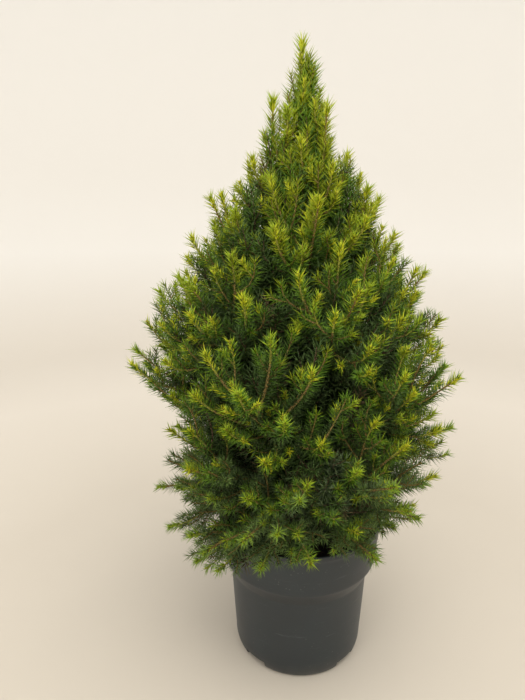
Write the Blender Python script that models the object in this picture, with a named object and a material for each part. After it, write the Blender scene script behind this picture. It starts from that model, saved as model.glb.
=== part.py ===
"""A young dwarf spruce in a nursery pot.

The pot is a thin plastic shell with a collar and four drainage notches, and it is filled with potting soil.
A tapering trunk stands on the soil and runs up the middle of a conical crown. Whorls of boughs leave the
trunk, and each bough ends where it enters its own mass of foliage: a stem with twigs, each twig ending in a
spray of needles. Metres, +Z up, the origin under the middle of the pot, the front towards -Y.
"""

import math
import random
from collections import namedtuple

import bmesh
import bpy
from mathutils import Vector

GAP = 0.0003  # what neighbouring solids keep between them

# Pot
POT_HEIGHT = 0.1645
RIM_R = 0.0930
COLLAR_Z = 0.1165  # lower edge of the wide collar
COLLAR_R = 0.0880
SHOULDER_Z = 0.1000  # where the collar's shoulder meets the body
SHOULDER_R = 0.0794
FOOT_R = 0.0744  # body just above its rounded bottom edge
BASE_R = 0.0702  # flat underside
FOOT_ROUND = 0.018  # height of that rounded edge
FOOT_CORNERS = ((0.0, 0.0), (0.45, 0.22), (0.80, 0.55))  # its corners, as shares of its width and height
WALL = 0.0018
POT_SEGMENTS = 44
POT_SHARP = math.radians(35)  # edges sharper than this are shaded as edges
NOTCHES = 4
NOTCH_AZIMUTH = 45  # of the first
NOTCH_WIDTH = 0.0290
NOTCH_HEIGHT = 0.0095
NOTCH_INNER_R = 0.0540
NOTCH_SLOPE = 0.3  # how much each side of a notch leans out towards the floor, as a share of its height
CUT_PAST = 0.010  # how far a cutter runs past what it cuts

# Potting soil
SOIL_TOP = 0.1480

# Trunk
TRUNK_TOP = 0.5650
TRUNK_R = 0.0080
TRUNK_TIP_R = 0.0019
FLARE_R = 0.0032  # what the root flare adds at the soil
FLARE_HEIGHT = 0.018
TRUNK_SWAY = 0.0020
TRUNK_LEAN = -0.0075  # how far to the side the tip is
TRUNK_TAPER = 0.9
SWAY_TURNS = (1.3, 0.9)  # waves of the sway, from side to side and from front to back
SWAY_START = 0.6
TRUNK_SIDES = 12
TRUNK_RINGS = 13
RING_CROWDING = 1.25  # the larger, the closer the rings near the soil
FLARE_RING = 0.35  # height of one more ring, as a share of the flare's

# Crown outline: height, then its radius at the left side and at the right side
OUTLINE = (
    (0.110, 0.136, 0.110),
    (0.140, 0.150, 0.114),
    (0.176, 0.161, 0.119),
    (0.215, 0.153, 0.138),
    (0.260, 0.148, 0.167),
    (0.305, 0.152, 0.158),
    (0.355, 0.177, 0.154),
    (0.405, 0.166, 0.146),
    (0.440, 0.144, 0.122),
    (0.470, 0.124, 0.100),
    (0.510, 0.094, 0.076),
    (0.540, 0.068, 0.062),
    (0.580, 0.044, 0.026),
    (0.612, 0.028, 0.016),
    (0.650, 0.012, 0.010),
)
HEM_Z = 0.142  # lowest tips at the sides
BACK_HEM_Z = 0.150
FRONT_HEM_Z = 0.170
HEM_DIP = 0.020  # how much lower the hem hangs over the rim at one place
HEM_DIP_AZIMUTH = -146
HEM_DIP_POWER = 6  # the larger, the narrower that place
HEM_POWER = 1.5  # how quickly the hem changes from the sides to the front and to the back

# Limbs in whorls. A limb's tip is on the outline at tip_z; at the front of a low whorl it is at front_tip_z.
Whorl = namedtuple("Whorl", "count azimuth root_z tip_z front_tip_z front_reach lift bough")
WHORLS = (
    Whorl(5, 154, 0.163, 0.160, 0.182, 0.132, 22, True),
    Whorl(5, 182, 0.188, 0.196, 0.220, 0.152, 14, True),
    Whorl(5, 2, 0.216, 0.262, 0.272, 0.164, 6, True),
    Whorl(5, 181, 0.262, 0.354, 0.350, 0.164, 12, True),
    Whorl(5, 0, 0.330, 0.436, 0.432, 0.130, 22, False),
    Whorl(4, 184, 0.405, 0.510, 0.506, 0.090, 30, False),
    Whorl(3, 180, 0.470, 0.603, 0.588, 0.034, 54, False),
)
LIMB_BEND = 0.5  # how far along a limb it bends from its lift to its tip
AZIMUTH_JITTER = 7.0
REACH_JITTER = 0.04
BOUGH_R = 0.0036  # of the lowest bough at the trunk; higher ones are thinner
BOUGH_THINNING = 0.0030
BOUGH_TIP_SHARE = 0.62
BOUGH_END = 0.42  # share of a limb's length where the bough ends and the mass begins
CUT_SPAN = 0.01  # share of its length on each side that gives the direction of the cut between them
LIMB_STEPS = 4  # straight stretches of a bough, and of a stem
WHOLE_STEPS = 6
BOUGH_SIDES = 4
STEM_R = 0.0018
STEM_SIDES = 3
STEM_THINNING = 0.2  # share of its radius that a stem loses along its length
TWIG_R = 0.0010

# Leader, the foliage mass on the trunk's tip
CROWN_TOP = 0.6490

# Cores of the dense masses
CORE_SHARE = (0.0, 0.86)  # from here to here along the stem
CORE_STRETCH = 1.12  # how much longer than that stretch a core is
CORE_HALF_WIDTH = 0.31  # as a share of the outline's radius there
CORE_EXTRA = 0.02  # what is added to that radius first
CORE_DEPTH = 0.038  # how far a core keeps inside the crown's outline
CORE_DEPTH_SHARE = 0.45  # the same near the top, as a share of the outline's radius
CORE_CLEAR = 0.0010  # what it keeps from its neighbours' planes
CORE_WELD = 0.006  # corners closer than this are made one
CORE_CLIPS = 6  # most cuts made in a core for the wood of other masses

# Twigs and sprays
TWIGS = 205
GOLDEN_ANGLE = 137.508
OUTLINE_JITTER = (0.90, 1.04)
OUTLINE_STEPS = 200  # slices that the outline's area is added up in
TOP_BIAS = 0.03  # the larger, the more twigs near the top
SPRAY_R = 0.0148  # reach of the needles from a spray's middle line
SPRAY_LENGTH = 0.042
SPRAY_WIDE = 0.4  # share of a spray's length from which its needles have their full reach
SPRAY_SLIM = 0.1  # share of its length from which they stand out at all
SPRAY_END = 0.6  # how far short of its tip they end, as a share of their reach
SPRAY_TIERS_END = 0.92  # share of its length where its last tier starts
SPRAY_ROOT = 0.004  # how deep a limb's own spray is sunk in its stem
TWIG_THICK = (1.2, 0.7)  # a twig's radius at its root and at its spray's tip, as shares of TWIG_R
LEADERS = ("leader", "7_1")
LEADER_SPRAY = 0.078  # the longer sprays on the tips of the two leaders
TIP_BEYOND = 0.012  # how far a limb's own spray reaches beyond its stem
TIER_LENGTH = 0.0130  # a tier of needles for each such length of spray that stands out of its core
REACHES = ((0.0, 0.68), (0.4, 1.0), (1.0, 0.66))  # share of the reach, from the lowest tier to the top one
STAND_OFF = 0.0010  # what a spray keeps from the next mass, beyond its needles
NEEDLE_CLEAR = 0.0035  # how far from the core a spray's needles begin
MINGLE = 0.64  # how near, as a share of both their reaches, sprays of one mass come
TOP_MINGLE = 0.15  # the same near the top
TOP_Z = 0.560
NEEDLE_LEAN = 0.55  # how far a needle points forward, as a share of its reach
SHRINKS = (1.0, 0.82, 0.66)  # a spray that touches its neighbour is tried thinner
TWIG_REACH = (0.004, 0.075)  # shortest and longest twig, from its stem to its spray
FORK = 42  # angle a twig likes to leave its stem at
ROOT_SHARES = (0.1, 0.6)  # where a twig may start on each stretch of a stem
LENGTH_COST = 0.03  # a twig this much longer costs as much
FORK_COST = 40  # as one that is this many degrees off the angle it likes
TRIES = 3  # how many limbs a twig tries
RISE = ((0.14, -8), (0.20, 16), (0.27, 38), (0.36, 54), (0.45, 68), (0.55, 80))  # sprays' rise by height
SEED = 7
FLAT = math.radians(0.2)  # facets that differ by less are made one

# How many points along a line are tested for clearance
WOOD_TESTS = 5
POT_TESTS = 7
CORE_TESTS = 13
START_TESTS = 20

BARK = ("bark", (0.20, 0.12, 0.06), 0.85)
NEEDLES = ("foliage", (0.10, 0.19, 0.04), 0.6)
PLASTIC = ("pot_plastic", (0.050, 0.054, 0.053), 0.45)
SOIL = ("potting_soil", (0.035, 0.022, 0.014), 0.95)


# --- Scene and mesh helpers ------------------------------------------------------------------------------


def clear_scene():
    for obj in list(bpy.data.objects):
        bpy.data.objects.remove(obj, do_unlink=True)


def material(name, colour, roughness):
    made = bpy.data.materials.get(name)
    if made is None:
        made = bpy.data.materials.new(name)
        made.use_nodes = True
        shader = made.node_tree.nodes["Principled BSDF"]
        shader.inputs["Base Color"].default_value = (*colour, 1.0)
        shader.inputs["Roughness"].default_value = roughness
        shader.inputs["Metallic"].default_value = 0.0
    return made


def new_object(name, points, faces, finish, collection=None):
    mesh = bpy.data.meshes.new(name)
    mesh.from_pydata([tuple(p) for p in points], [], faces)
    mesh.materials.append(material(*finish))
    obj = bpy.data.objects.new(name, mesh)
    (collection or bpy.context.scene.collection).objects.link(obj)
    return obj


def bake_modifiers(obj):
    graph = bpy.context.evaluated_depsgraph_get()
    mesh = bpy.data.meshes.new_from_object(obj.evaluated_get(graph))
    obj.modifiers.clear()
    obj.data = mesh


def boolean(obj, operation, target, solver="EXACT"):
    modifier = obj.modifiers.new(operation.lower(), "BOOLEAN")
    modifier.operation = operation
    modifier.solver = solver
    if isinstance(target, bpy.types.Collection):
        modifier.operand_type = "COLLECTION"
        modifier.collection = target
    else:
        modifier.object = target
    return modifier


def spread(a, b, count):
    """Evenly spaced points from one point to another."""
    return [a.lerp(b, i / (count - 1)) for i in range(count)]


def interpolate(table, x):
    """Straight-line value of a table of (x, value) rows, held level past its ends."""
    if x <= table[0][0]:
        return table[0][1]
    for (x0, v0), (x1, v1) in zip(table, table[1:]):
        if x <= x1:
            return v0 + (v1 - v0) * (x - x0) / (x1 - x0)
    return table[-1][1]


# --- Pot and soil ----------------------------------------------------------------------------------------


def lathe(name, profile, finish, segments=POT_SEGMENTS):
    """A solid turned about Z from (radius, height) points that run from the axis below to the axis above."""
    points, rings, faces = [], [], []
    for radius, z in profile:
        if radius == 0:
            rings.append([len(points)])
            points.append((0, 0, z))
            continue
        rings.append(range(len(points), len(points) + segments))
        for i in range(segments):
            angle = 2 * math.pi * i / segments
            points.append((radius * math.cos(angle), radius * math.sin(angle), z))
    for low, high in zip(rings, rings[1:]):
        for i in range(segments):
            j = (i + 1) % segments
            if len(low) == 1:
                faces.append((low[0], high[j], high[i]))
            elif len(high) == 1:
                faces.append((low[i], low[j], high[0]))
            else:
                faces.append((low[i], low[j], high[j], high[i]))
    obj = new_object(name, points, faces, finish)
    obj.data.shade_smooth()
    obj.data.set_sharp_from_angle(angle=POT_SHARP)
    return obj


def pot_profile(inset, floor, top):
    """The pot's side from its axis below to its axis above, moved in by inset and cut off at floor and top.

    Inside, the bottom edge is a plain slope."""
    foot = [(BASE_R + width * (FOOT_R - BASE_R), height * FOOT_ROUND) for width, height in FOOT_CORNERS]
    side = [(FOOT_R, FOOT_ROUND), (SHOULDER_R, SHOULDER_Z), (COLLAR_R, COLLAR_Z), (RIM_R, POT_HEIGHT)]
    radius_at = [(z, r - inset) for r, z in foot + side]
    steps = foot + side if inset == 0 else side
    inner = [(r - inset, z) for r, z in steps if floor < z < top]
    low = (interpolate(radius_at, floor), floor)
    high = (interpolate(radius_at, top), top)
    return [(0, floor), low, *inner, high, (0, top)]


def notch_cutters(name, grow):
    """A hidden collection of boxes, one for each drainage notch, grown on every side by grow."""
    collection = bpy.data.collections.new(name)
    bpy.context.scene.collection.children.link(collection)
    half = NOTCH_WIDTH / 2 + grow
    low, high = -CUT_PAST, NOTCH_HEIGHT + grow
    near, far = NOTCH_INNER_R - grow, RIM_R
    slope = NOTCH_SLOPE * NOTCH_HEIGHT
    for number in range(NOTCHES):
        angle = math.radians(NOTCH_AZIMUTH + 360 / NOTCHES * number)
        out = Vector((math.cos(angle), math.sin(angle), 0))
        along = Vector((-math.sin(angle), math.cos(angle), 0))
        points = []
        for z, width in ((low, half + slope), (high, half)):
            for r, side in ((near, -1), (far, -1), (far, 1), (near, 1)):
                points.append(out * r + along * side * width + Vector((0, 0, z)))
        faces = [(3, 2, 1, 0), (4, 5, 6, 7)]
        faces += [(i, (i + 1) % 4, (i + 1) % 4 + 4, i + 4) for i in range(4)]
        cutter = new_object(f"{name}_{number + 1}", points, faces, PLASTIC, collection)
        cutter.hide_render = True
        cutter.display_type = "WIRE"
    return collection


def make_pot():
    """A turned body less its notches and less its hollow, which keeps a wall's thickness over each notch."""
    pot = lathe("pot", pot_profile(0, 0, POT_HEIGHT), PLASTIC)
    boolean(pot, "DIFFERENCE", notch_cutters("notch", 0))
    hollow = lathe("pot_hollow", pot_profile(WALL, WALL, POT_HEIGHT + CUT_PAST), PLASTIC)
    boolean(hollow, "DIFFERENCE", notch_cutters("notch_wall", WALL))
    hollow.hide_render = True
    hollow.display_type = "WIRE"
    boolean(pot, "DIFFERENCE", hollow)


def make_soil():
    inset = WALL + GAP
    soil = lathe("potting_soil", pot_profile(inset, inset, SOIL_TOP), SOIL)
    boolean(soil, "DIFFERENCE", notch_cutters("notch_soil", inset))


# --- Limbs -----------------------------------------------------------------------------------------------


def trunk_rings():
    """(height, middle, radius) of each ring of the trunk, from the flat cut on the soil to its tip."""
    base = SOIL_TOP + GAP
    steps = [(i / (TRUNK_RINGS - 1)) ** RING_CROWDING for i in range(TRUNK_RINGS)]
    heights = [base, base + FLARE_RING * FLARE_HEIGHT]
    heights += [base + (TRUNK_TOP - base) * step for step in steps[1:]]
    rings = []
    for z in heights:
        share = (z - base) / (TRUNK_TOP - base)
        flare = FLARE_R * max(0.0, 1 - (z - base) / FLARE_HEIGHT) ** 2
        wave_x, wave_y = (2 * math.pi * turns * share for turns in SWAY_TURNS)
        x = TRUNK_SWAY * math.sin(wave_x) + TRUNK_LEAN * share**2
        y = TRUNK_SWAY * (math.sin(wave_y + SWAY_START) - math.sin(SWAY_START))
        radius = TRUNK_R + (TRUNK_TIP_R - TRUNK_R) * share**TRUNK_TAPER + flare
        rings.append((z, Vector((x, y, z)), radius))
    return rings


TRUNK = trunk_rings()


def trunk_point(z):
    """The trunk's middle at a height."""
    return interpolate([(height, middle) for height, middle, _ in TRUNK], z)


def trunk_radius(z):
    return interpolate([(height, radius) for height, _, radius in TRUNK], z)


def bezier(a, b, c, t):
    return a * (1 - t) ** 2 + b * 2 * t * (1 - t) + c * t**2


def tangents(path):
    last = len(path) - 1
    return [(path[min(i + 1, last)] - path[max(i - 1, 0)]).normalized() for i in range(len(path))]


def across(direction):
    """Two unit vectors square to a direction and to each other."""
    helper = Vector((0, 0, 1)) if abs(direction.z) < 0.9 else Vector((1, 0, 0))
    side = direction.cross(helper).normalized()
    return side, side.cross(direction)


def seat_on_trunk(point, direction):
    """Slides a point along a limb's direction until it is just outside the trunk's bark."""
    centre = trunk_point(point.z)
    target = trunk_radius(point.z) + GAP
    flat = Vector((direction.x, direction.y, 0))
    offset = Vector((point.x - centre.x, point.y - centre.y, 0))
    a, b, c = flat.dot(flat), flat.dot(offset), offset.dot(offset) - target**2
    step = (-b + math.sqrt(max(b * b - a * c, 0))) / a
    return point + direction * step


def tube(path, radii, sides, seated=False, cuts=(None, None)):
    """Points and faces of a closed tapering limb, cut square to the directions in cuts if they are given.

    A seated one has its lower end shaped to the trunk."""
    points, faces = [], []
    directions = tangents(path)
    directions[0] = cuts[0] or directions[0]
    directions[-1] = cuts[1] or directions[-1]
    for index, (centre, radius) in enumerate(zip(path, radii)):
        u, v = across(directions[index])
        for k in range(sides):
            angle = 2 * math.pi * k / sides
            corner = centre + (u * math.cos(angle) + v * math.sin(angle)) * radius
            if seated and index == 0:
                corner = seat_on_trunk(corner, directions[0])
            points.append(corner)
    for ring in range(len(path) - 1):
        for k in range(sides):
            low, nxt = ring * sides + k, ring * sides + (k + 1) % sides
            faces += [(low, low + sides, nxt), (nxt, low + sides, nxt + sides)]
    first, last = range(sides), range(len(points) - sides, len(points))
    if seated:
        points.append(seat_on_trunk(path[0], directions[0]))
        hub = len(points) - 1
        faces += [(first[k], first[(k + 1) % sides], hub) for k in range(sides)]
    else:
        faces.append(tuple(first))
    faces.append(tuple(reversed(last)))
    return points, faces


def make_trunk():
    path = [middle for _, middle, _ in TRUNK]
    points, faces = tube(path, [radius for _, _, radius in TRUNK], TRUNK_SIDES)
    for point in points[:TRUNK_SIDES]:
        point.z = path[0].z  # the flat cut on the soil
    for point in points[-TRUNK_SIDES:]:
        point.z = TRUNK_TOP
    new_object("trunk", points, faces, BARK)


# --- The crown's plan ------------------------------------------------------------------------------------


def frontness(azimuth):
    """0 at the sides and back of the crown, rising to 1 at its front."""
    return max(0.0, -math.sin(math.radians(azimuth))) ** HEM_POWER


def backness(azimuth):
    return max(0.0, math.sin(math.radians(azimuth))) ** HEM_POWER


def hem_height(azimuth):
    """Height of the crown's lowest tips on a side."""
    dip = max(0.0, math.cos(math.radians(azimuth - HEM_DIP_AZIMUTH))) ** HEM_DIP_POWER * HEM_DIP
    front, back = frontness(azimuth), backness(azimuth)
    return HEM_Z + (FRONT_HEM_Z - HEM_Z) * front + (BACK_HEM_Z - HEM_Z) * back - dip


def outline_radius(z, azimuth):
    """The crown's radius at a height, blended from its left and right sides."""
    left = interpolate([(row[0], row[1]) for row in OUTLINE], z)
    right = interpolate([(row[0], row[2]) for row in OUTLINE], z)
    share = 0.5 + 0.5 * math.cos(math.radians(azimuth))
    return left + (right - left) * share


def limb_line(whorl, azimuth, reach_share):
    """Root, bend and tip of a limb that leaves the trunk at its whorl's lift and ends on the outline."""
    front = frontness(azimuth)
    tip_z = whorl.tip_z + (whorl.front_tip_z - whorl.tip_z) * front
    reach = outline_radius(whorl.tip_z, azimuth)
    reach = (reach + (whorl.front_reach - reach) * front) * reach_share
    out = Vector((math.cos(math.radians(azimuth)), math.sin(math.radians(azimuth)), 0))
    root = trunk_point(whorl.root_z)
    tip = out * reach + Vector((0, 0, tip_z))
    lift = math.radians(whorl.lift)
    start = out * math.cos(lift) + Vector((0, 0, math.sin(lift)))
    root = root + out * trunk_radius(whorl.root_z)
    return root, root + start * (tip - root).length * LIMB_BEND, tip


def limb_points(line, first, last, steps):
    """Points of a limb from one share of its length to another."""
    return [bezier(*line, first + (last - first) * i / steps) for i in range(steps + 1)]


def plan_limbs():
    """One dict for each limb: its name, its bough's path if it has one, and its foliage's stem."""
    rng = random.Random(SEED)
    limbs = []
    for level, whorl in enumerate(WHORLS, start=1):
        for number in range(whorl.count):
            azimuth, share = whorl.azimuth + 360 / whorl.count * number, 1.0
            if number:
                azimuth += rng.uniform(-AZIMUTH_JITTER, AZIMUTH_JITTER)
                share += rng.uniform(-REACH_JITTER, REACH_JITTER)
            line = limb_line(whorl, azimuth, share)
            limb = {"name": f"{level}_{number + 1}", "level": level, "azimuth": azimuth}
            first = BOUGH_END if whorl.bough else 0.0
            blade = LEADER_SPRAY if limb["name"] in LEADERS else SPRAY_LENGTH
            last = 1 - (blade - TIP_BEYOND) / (line[2] - line[0]).length
            limb["whole"] = limb_points(line, first, 1, WHOLE_STEPS)
            limb["stem"] = limb_points(line, first, last, LIMB_STEPS)
            limb["blade"] = (limb["whole"][-1] - limb["stem"][-1]).normalized() * blade
            limb["bough"] = limb["cut"] = None
            if whorl.bough:
                limb["bough"] = limb_points(line, 0, BOUGH_END, LIMB_STEPS)
                before, after = bezier(*line, first - CUT_SPAN), bezier(*line, first + CUT_SPAN)
                limb["cut"] = (after - before).normalized()
                limb["stem"][0] = limb["stem"][0] + limb["cut"] * GAP
            limbs.append(limb)
    foot = trunk_point(TRUNK_TOP) + Vector((0, 0, GAP))
    top = Vector((foot.x, foot.y, CROWN_TOP + TIP_BEYOND))
    leader = {"name": "leader", "level": len(WHORLS) + 1, "azimuth": 0, "bough": None, "cut": None}
    leader["blade"] = Vector((0, 0, LEADER_SPRAY))
    leader["stem"] = [foot, top - leader["blade"]]
    leader["whole"] = [foot, top]
    limbs.append(leader)
    return limbs


def bough_radius(level):
    return BOUGH_R - BOUGH_THINNING * (level - 1) / len(WHORLS)


def along(path, share):
    """The point a share of the way along a path's list of points."""
    place = share * (len(path) - 1)
    index = min(int(place), len(path) - 2)
    return path[index].lerp(path[index + 1], place - index)


def outline_targets(rng):
    """Points spread evenly over the crown's outline, turned by the golden angle from one to the next."""
    low, high = OUTLINE[0][0], OUTLINE[-1][0]
    heights = [low + (high - low) * i / OUTLINE_STEPS for i in range(OUTLINE_STEPS + 1)]
    areas = [0.0]
    for z0, z1 in zip(heights, heights[1:]):
        areas.append(areas[-1] + (outline_radius(z0, 90) + TOP_BIAS) * (z1 - z0))
    table = list(zip(areas, heights))
    targets = []
    for i in range(TWIGS):
        z = interpolate(table, areas[-1] * (i + 0.5) / TWIGS)
        azimuth = (i * GOLDEN_ANGLE) % 360
        radius = outline_radius(z, azimuth) * rng.uniform(*OUTLINE_JITTER)
        if z > hem_height(azimuth):
            angle = math.radians(azimuth)
            targets.append(Vector((radius * math.cos(angle), radius * math.sin(angle), z)))
    return targets


def growth_direction(point):
    """How a shoot wants to grow there: level or drooping at the hem, and steeper towards the top."""
    rise = math.radians(interpolate(RISE, point.z))
    out = Vector((point.x, point.y, 0)).normalized()
    return out * math.cos(rise) + Vector((0, 0, math.sin(rise)))


def rank_roots(knee, limbs):
    """(cost, limb, point) of each limb's best place for a twig that ends at this knee, the cheapest first."""
    ranked = []
    for limb in limbs:
        stem = limb["stem"]
        headings = tangents(stem)
        first = 0 if limb["bough"] or limb["name"] == "leader" else 1
        best = None
        for i in range(first, len(stem) - 1):
            for share in ROOT_SHARES:
                root = stem[i].lerp(stem[i + 1], share)
                step = knee - root
                if not TWIG_REACH[0] < step.length < TWIG_REACH[1]:
                    continue
                fork = math.degrees(step.angle(headings[i]))
                cost = step.length / LENGTH_COST + abs(fork - FORK) / FORK_COST
                if best is None or cost < best[0]:
                    best = (cost, limb, root)
        if best:
            ranked.append(best)
    ranked.sort(key=lambda entry: entry[0])
    return ranked


# --- Cores -----------------------------------------------------------------------------------------------


def clip(mesh, point, normal):
    """Cuts off what is beyond a plane; what is left stays convex."""
    parts = mesh.verts[:] + mesh.edges[:] + mesh.faces[:]
    bmesh.ops.bisect_plane(mesh, geom=parts, plane_co=point, plane_no=normal, clear_outer=True)
    rehull(mesh)


def rehull(mesh):
    """Makes a mesh the convex hull of its own corners."""
    corners = [v.co.copy() for v in mesh.verts]
    mesh.clear()
    if len(corners) < 4:
        return
    for corner in corners:
        mesh.verts.new(corner)
    hull = bmesh.ops.convex_hull(mesh, input=mesh.verts[:])
    spare = [item for item in hull["geom_interior"] if isinstance(item, bmesh.types.BMVert)]
    bmesh.ops.delete(mesh, geom=spare, context="VERTS")


def core_centre(limb):
    return along(limb["whole"], sum(CORE_SHARE) / 2)


def keep_inside_outline(point):
    """Moves a core's corner in towards the trunk until it is deep enough inside the crown."""
    azimuth = math.degrees(math.atan2(point.y, point.x))
    outer = outline_radius(point.z, azimuth)
    limit = outer - min(CORE_DEPTH, outer * CORE_DEPTH_SHARE)
    radius = math.hypot(point.x, point.y)
    share = min(1.0, limit / radius)
    return Vector((point.x * share, point.y * share, point.z))


def make_core(limb, limbs, wood):
    """A convex lump round a stem, cut by planes half way to each neighbour and clear of trunk and boughs."""
    start, end = along(limb["whole"], CORE_SHARE[0]), along(limb["whole"], CORE_SHARE[1])
    centre = core_centre(limb)
    axis = (end - start).normalized()
    half = (end - start).length / 2 * CORE_STRETCH
    width = CORE_HALF_WIDTH * (outline_radius(centre.z, limb["azimuth"]) + CORE_EXTRA)
    mesh = bmesh.new()
    bmesh.ops.create_icosphere(mesh, subdivisions=1, radius=1.0)
    u, v = across(axis)
    for vert in mesh.verts:
        x, y, z = vert.co
        vert.co = keep_inside_outline((start + end) / 2 + (u * x + v * y) * width + axis * z * half)
    rehull(mesh)
    for other in limbs:
        if other is limb or other["name"] == "leader":
            continue
        there = core_centre(other)
        if (there - centre).length < 2 * (half + width):
            normal = (there - centre).normalized()
            clip(mesh, (centre + there) / 2 - normal * CORE_CLEAR, normal)
    out = Vector((math.cos(math.radians(limb["azimuth"])), math.sin(math.radians(limb["azimuth"])), 0))
    trunk = trunk_point(centre.z)
    clip(mesh, trunk + out * (trunk_radius(SOIL_TOP + FLARE_HEIGHT) + TRUNK_SWAY + CORE_CLEAR), -out)
    if limb["bough"]:
        clip(mesh, limb["stem"][0] + limb["cut"] * CORE_CLEAR, -limb["cut"])
    clip(mesh, Vector((0, 0, POT_HEIGHT + CORE_CLEAR * 2)), Vector((0, 0, -1)))
    for _ in range(CORE_CLIPS):
        worst = None
        for owner, (a, b, radius) in wood:
            if owner == limb["name"] or not mesh.faces:
                continue
            for p in spread(a, b, WOOD_TESTS):
                depth = max((p - f.verts[0].co).dot(f.normal) for f in mesh.faces) - radius - CORE_CLEAR
                if depth < 0 and (worst is None or depth < worst[0]):
                    worst = (depth, p, radius)
        if worst is None:
            break
        _, p, radius = worst
        normal = (p - centre).normalized()
        clip(mesh, p - normal * (radius + CORE_CLEAR * 2), normal)
    if mesh.faces:
        bmesh.ops.remove_doubles(mesh, verts=mesh.verts, dist=CORE_WELD)
        rehull(mesh)
    points = [vert.co.copy() for vert in mesh.verts]
    mesh.verts.index_update()
    faces = [[vert.index for vert in face.verts] for face in mesh.faces]
    planes = [(face.verts[0].co.copy(), face.normal.copy()) for face in mesh.faces]
    mesh.free()
    return points, faces, planes


def core_distance(capsule, planes):
    """At least this far apart are a capsule and a core; below 0 they may touch."""
    start, end, radius = capsule
    points = spread(start, end, CORE_TESTS)
    return min(max((p - point).dot(normal) for point, normal in planes) for p in points) - radius


# --- Growth ----------------------------------------------------------------------------------------------


def capsule_distance(a, b):
    """Shortest distance between the middle lines of two capsules, each (start, end, radius)."""
    p, q = a[0], b[0]
    d1, d2, r = a[1] - a[0], b[1] - b[0], a[0] - b[0]
    aa, ee, ff = d1.dot(d1), d2.dot(d2), d2.dot(r)
    cc, bb = d1.dot(r), d1.dot(d2)
    denominator = aa * ee - bb * bb
    s = min(max((bb * ff - cc * ee) / denominator, 0), 1) if denominator > 1e-14 else 0.0
    t = (bb * s + ff) / ee
    if t < 0:
        t, s = 0.0, min(max(-cc / aa, 0), 1)
    elif t > 1:
        t, s = 1.0, min(max((bb - cc) / aa, 0), 1)
    return (p + d1 * s - q - d2 * t).length


def path_capsules(path, radii):
    return [(a, b, max(ra, rb)) for a, b, ra, rb in zip(path, path[1:], radii, radii[1:])]


def clears_pot(capsule):
    """Whether a capsule keeps clear of the pot's wall and of the soil in it."""
    start, end, radius = capsule
    top, low = Vector((RIM_R - WALL / 2, POT_HEIGHT)), Vector((COLLAR_R - WALL / 2, COLLAR_Z))
    for p in spread(start, end, POT_TESTS):
        place = Vector((math.hypot(p.x, p.y), p.z))
        share = min(max((place - top).dot(low - top) / (low - top).length_squared, 0), 1)
        if (place - top.lerp(low, share)).length < radius + WALL:
            return False
        if place.x < RIM_R and place.y - radius < SOIL_TOP + GAP:
            return False
    return True


def grow_crown():
    """Plans the limbs, then gives each target a twig from the stem that suits it, unless it would touch."""
    rng = random.Random(SEED + 1)
    limbs = plan_limbs()
    wood = []  # (limb name, capsule) of everything woody
    middles = [middle for _, middle, _ in TRUNK]
    wood += [("trunk", c) for c in path_capsules(middles, [radius for _, _, radius in TRUNK])]
    for limb in limbs:
        thick = bough_radius(limb["level"])
        if limb["bough"]:
            radii = [thick] * len(limb["bough"])
            wood += [("bough" + limb["name"], c) for c in path_capsules(limb["bough"], radii)]
        limb["radius"] = STEM_R if limb["bough"] else max(thick, STEM_R)
        radii = [limb["radius"]] * len(limb["stem"])
        wood += [(limb["name"], c) for c in path_capsules(limb["stem"], radii)]
        limb["sprays"] = []
    for limb in limbs:
        limb["core"] = ([], [], [])
        if limb["name"] != "leader":
            limb["core"] = make_core(limb, limbs, wood)
    sprays = []  # (limb name, capsule) of every spray so far
    for limb in limbs:
        knee = limb["stem"][-1]
        root = knee - limb["blade"].normalized() * SPRAY_ROOT
        place_spray(limb, root, knee, knee + limb["blade"], 0.0, limbs, wood, sprays)
    for target in outline_targets(rng):
        turn = rng.uniform(0, 2 * math.pi)
        knee = target - growth_direction(target) * SPRAY_LENGTH
        for _, limb, root in rank_roots(knee, limbs)[:TRIES]:
            if place_spray(limb, root, knee, target, turn, limbs, wood, sprays):
                break
    return limbs


def place_spray(limb, root, knee, tip, turn, limbs, wood, sprays):
    """Adds a spray to a limb's foliage in the largest size that touches nothing else, if there is one."""
    heading = (tip - knee).normalized()
    stalks = ((root, knee, TWIG_R), (knee, tip, TWIG_R))
    others = [other["core"][2] for other in limbs if other is not limb and other["core"][2]]
    for stalk in stalks:
        if not clears_pot(stalk) or any(core_distance(stalk, planes) < 2 * GAP for planes in others):
            return False
    for shrink in SHRINKS:
        reach = SPRAY_R * shrink
        wide = knee.lerp(tip, SPRAY_WIDE)
        full = (wide, tip - heading * reach * SPRAY_END, reach + STAND_OFF)
        slim = (knee.lerp(tip, SPRAY_SLIM), wide, reach * REACHES[0][1] + STAND_OFF)
        if not all(is_free(limb, blade, stalks, others, wood, sprays) for blade in (full, slim)):
            continue
        start = needle_start(knee, tip, limb["core"][2])
        limb["sprays"].append({"line": (root, knee, start, tip), "reach": reach, "turn": turn})
        sprays.append((limb["name"], full))
        wood.extend((limb["name"], stalk) for stalk in stalks)
        return True
    return False


def needle_start(knee, tip, planes):
    """Where a spray's needles begin: at the knee, or further out if the core still covers it."""
    for start in spread(knee, tip, START_TESTS):
        if not planes or max((start - point).dot(normal) for point, normal in planes) > NEEDLE_CLEAR:
            return start
    return knee


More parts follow.
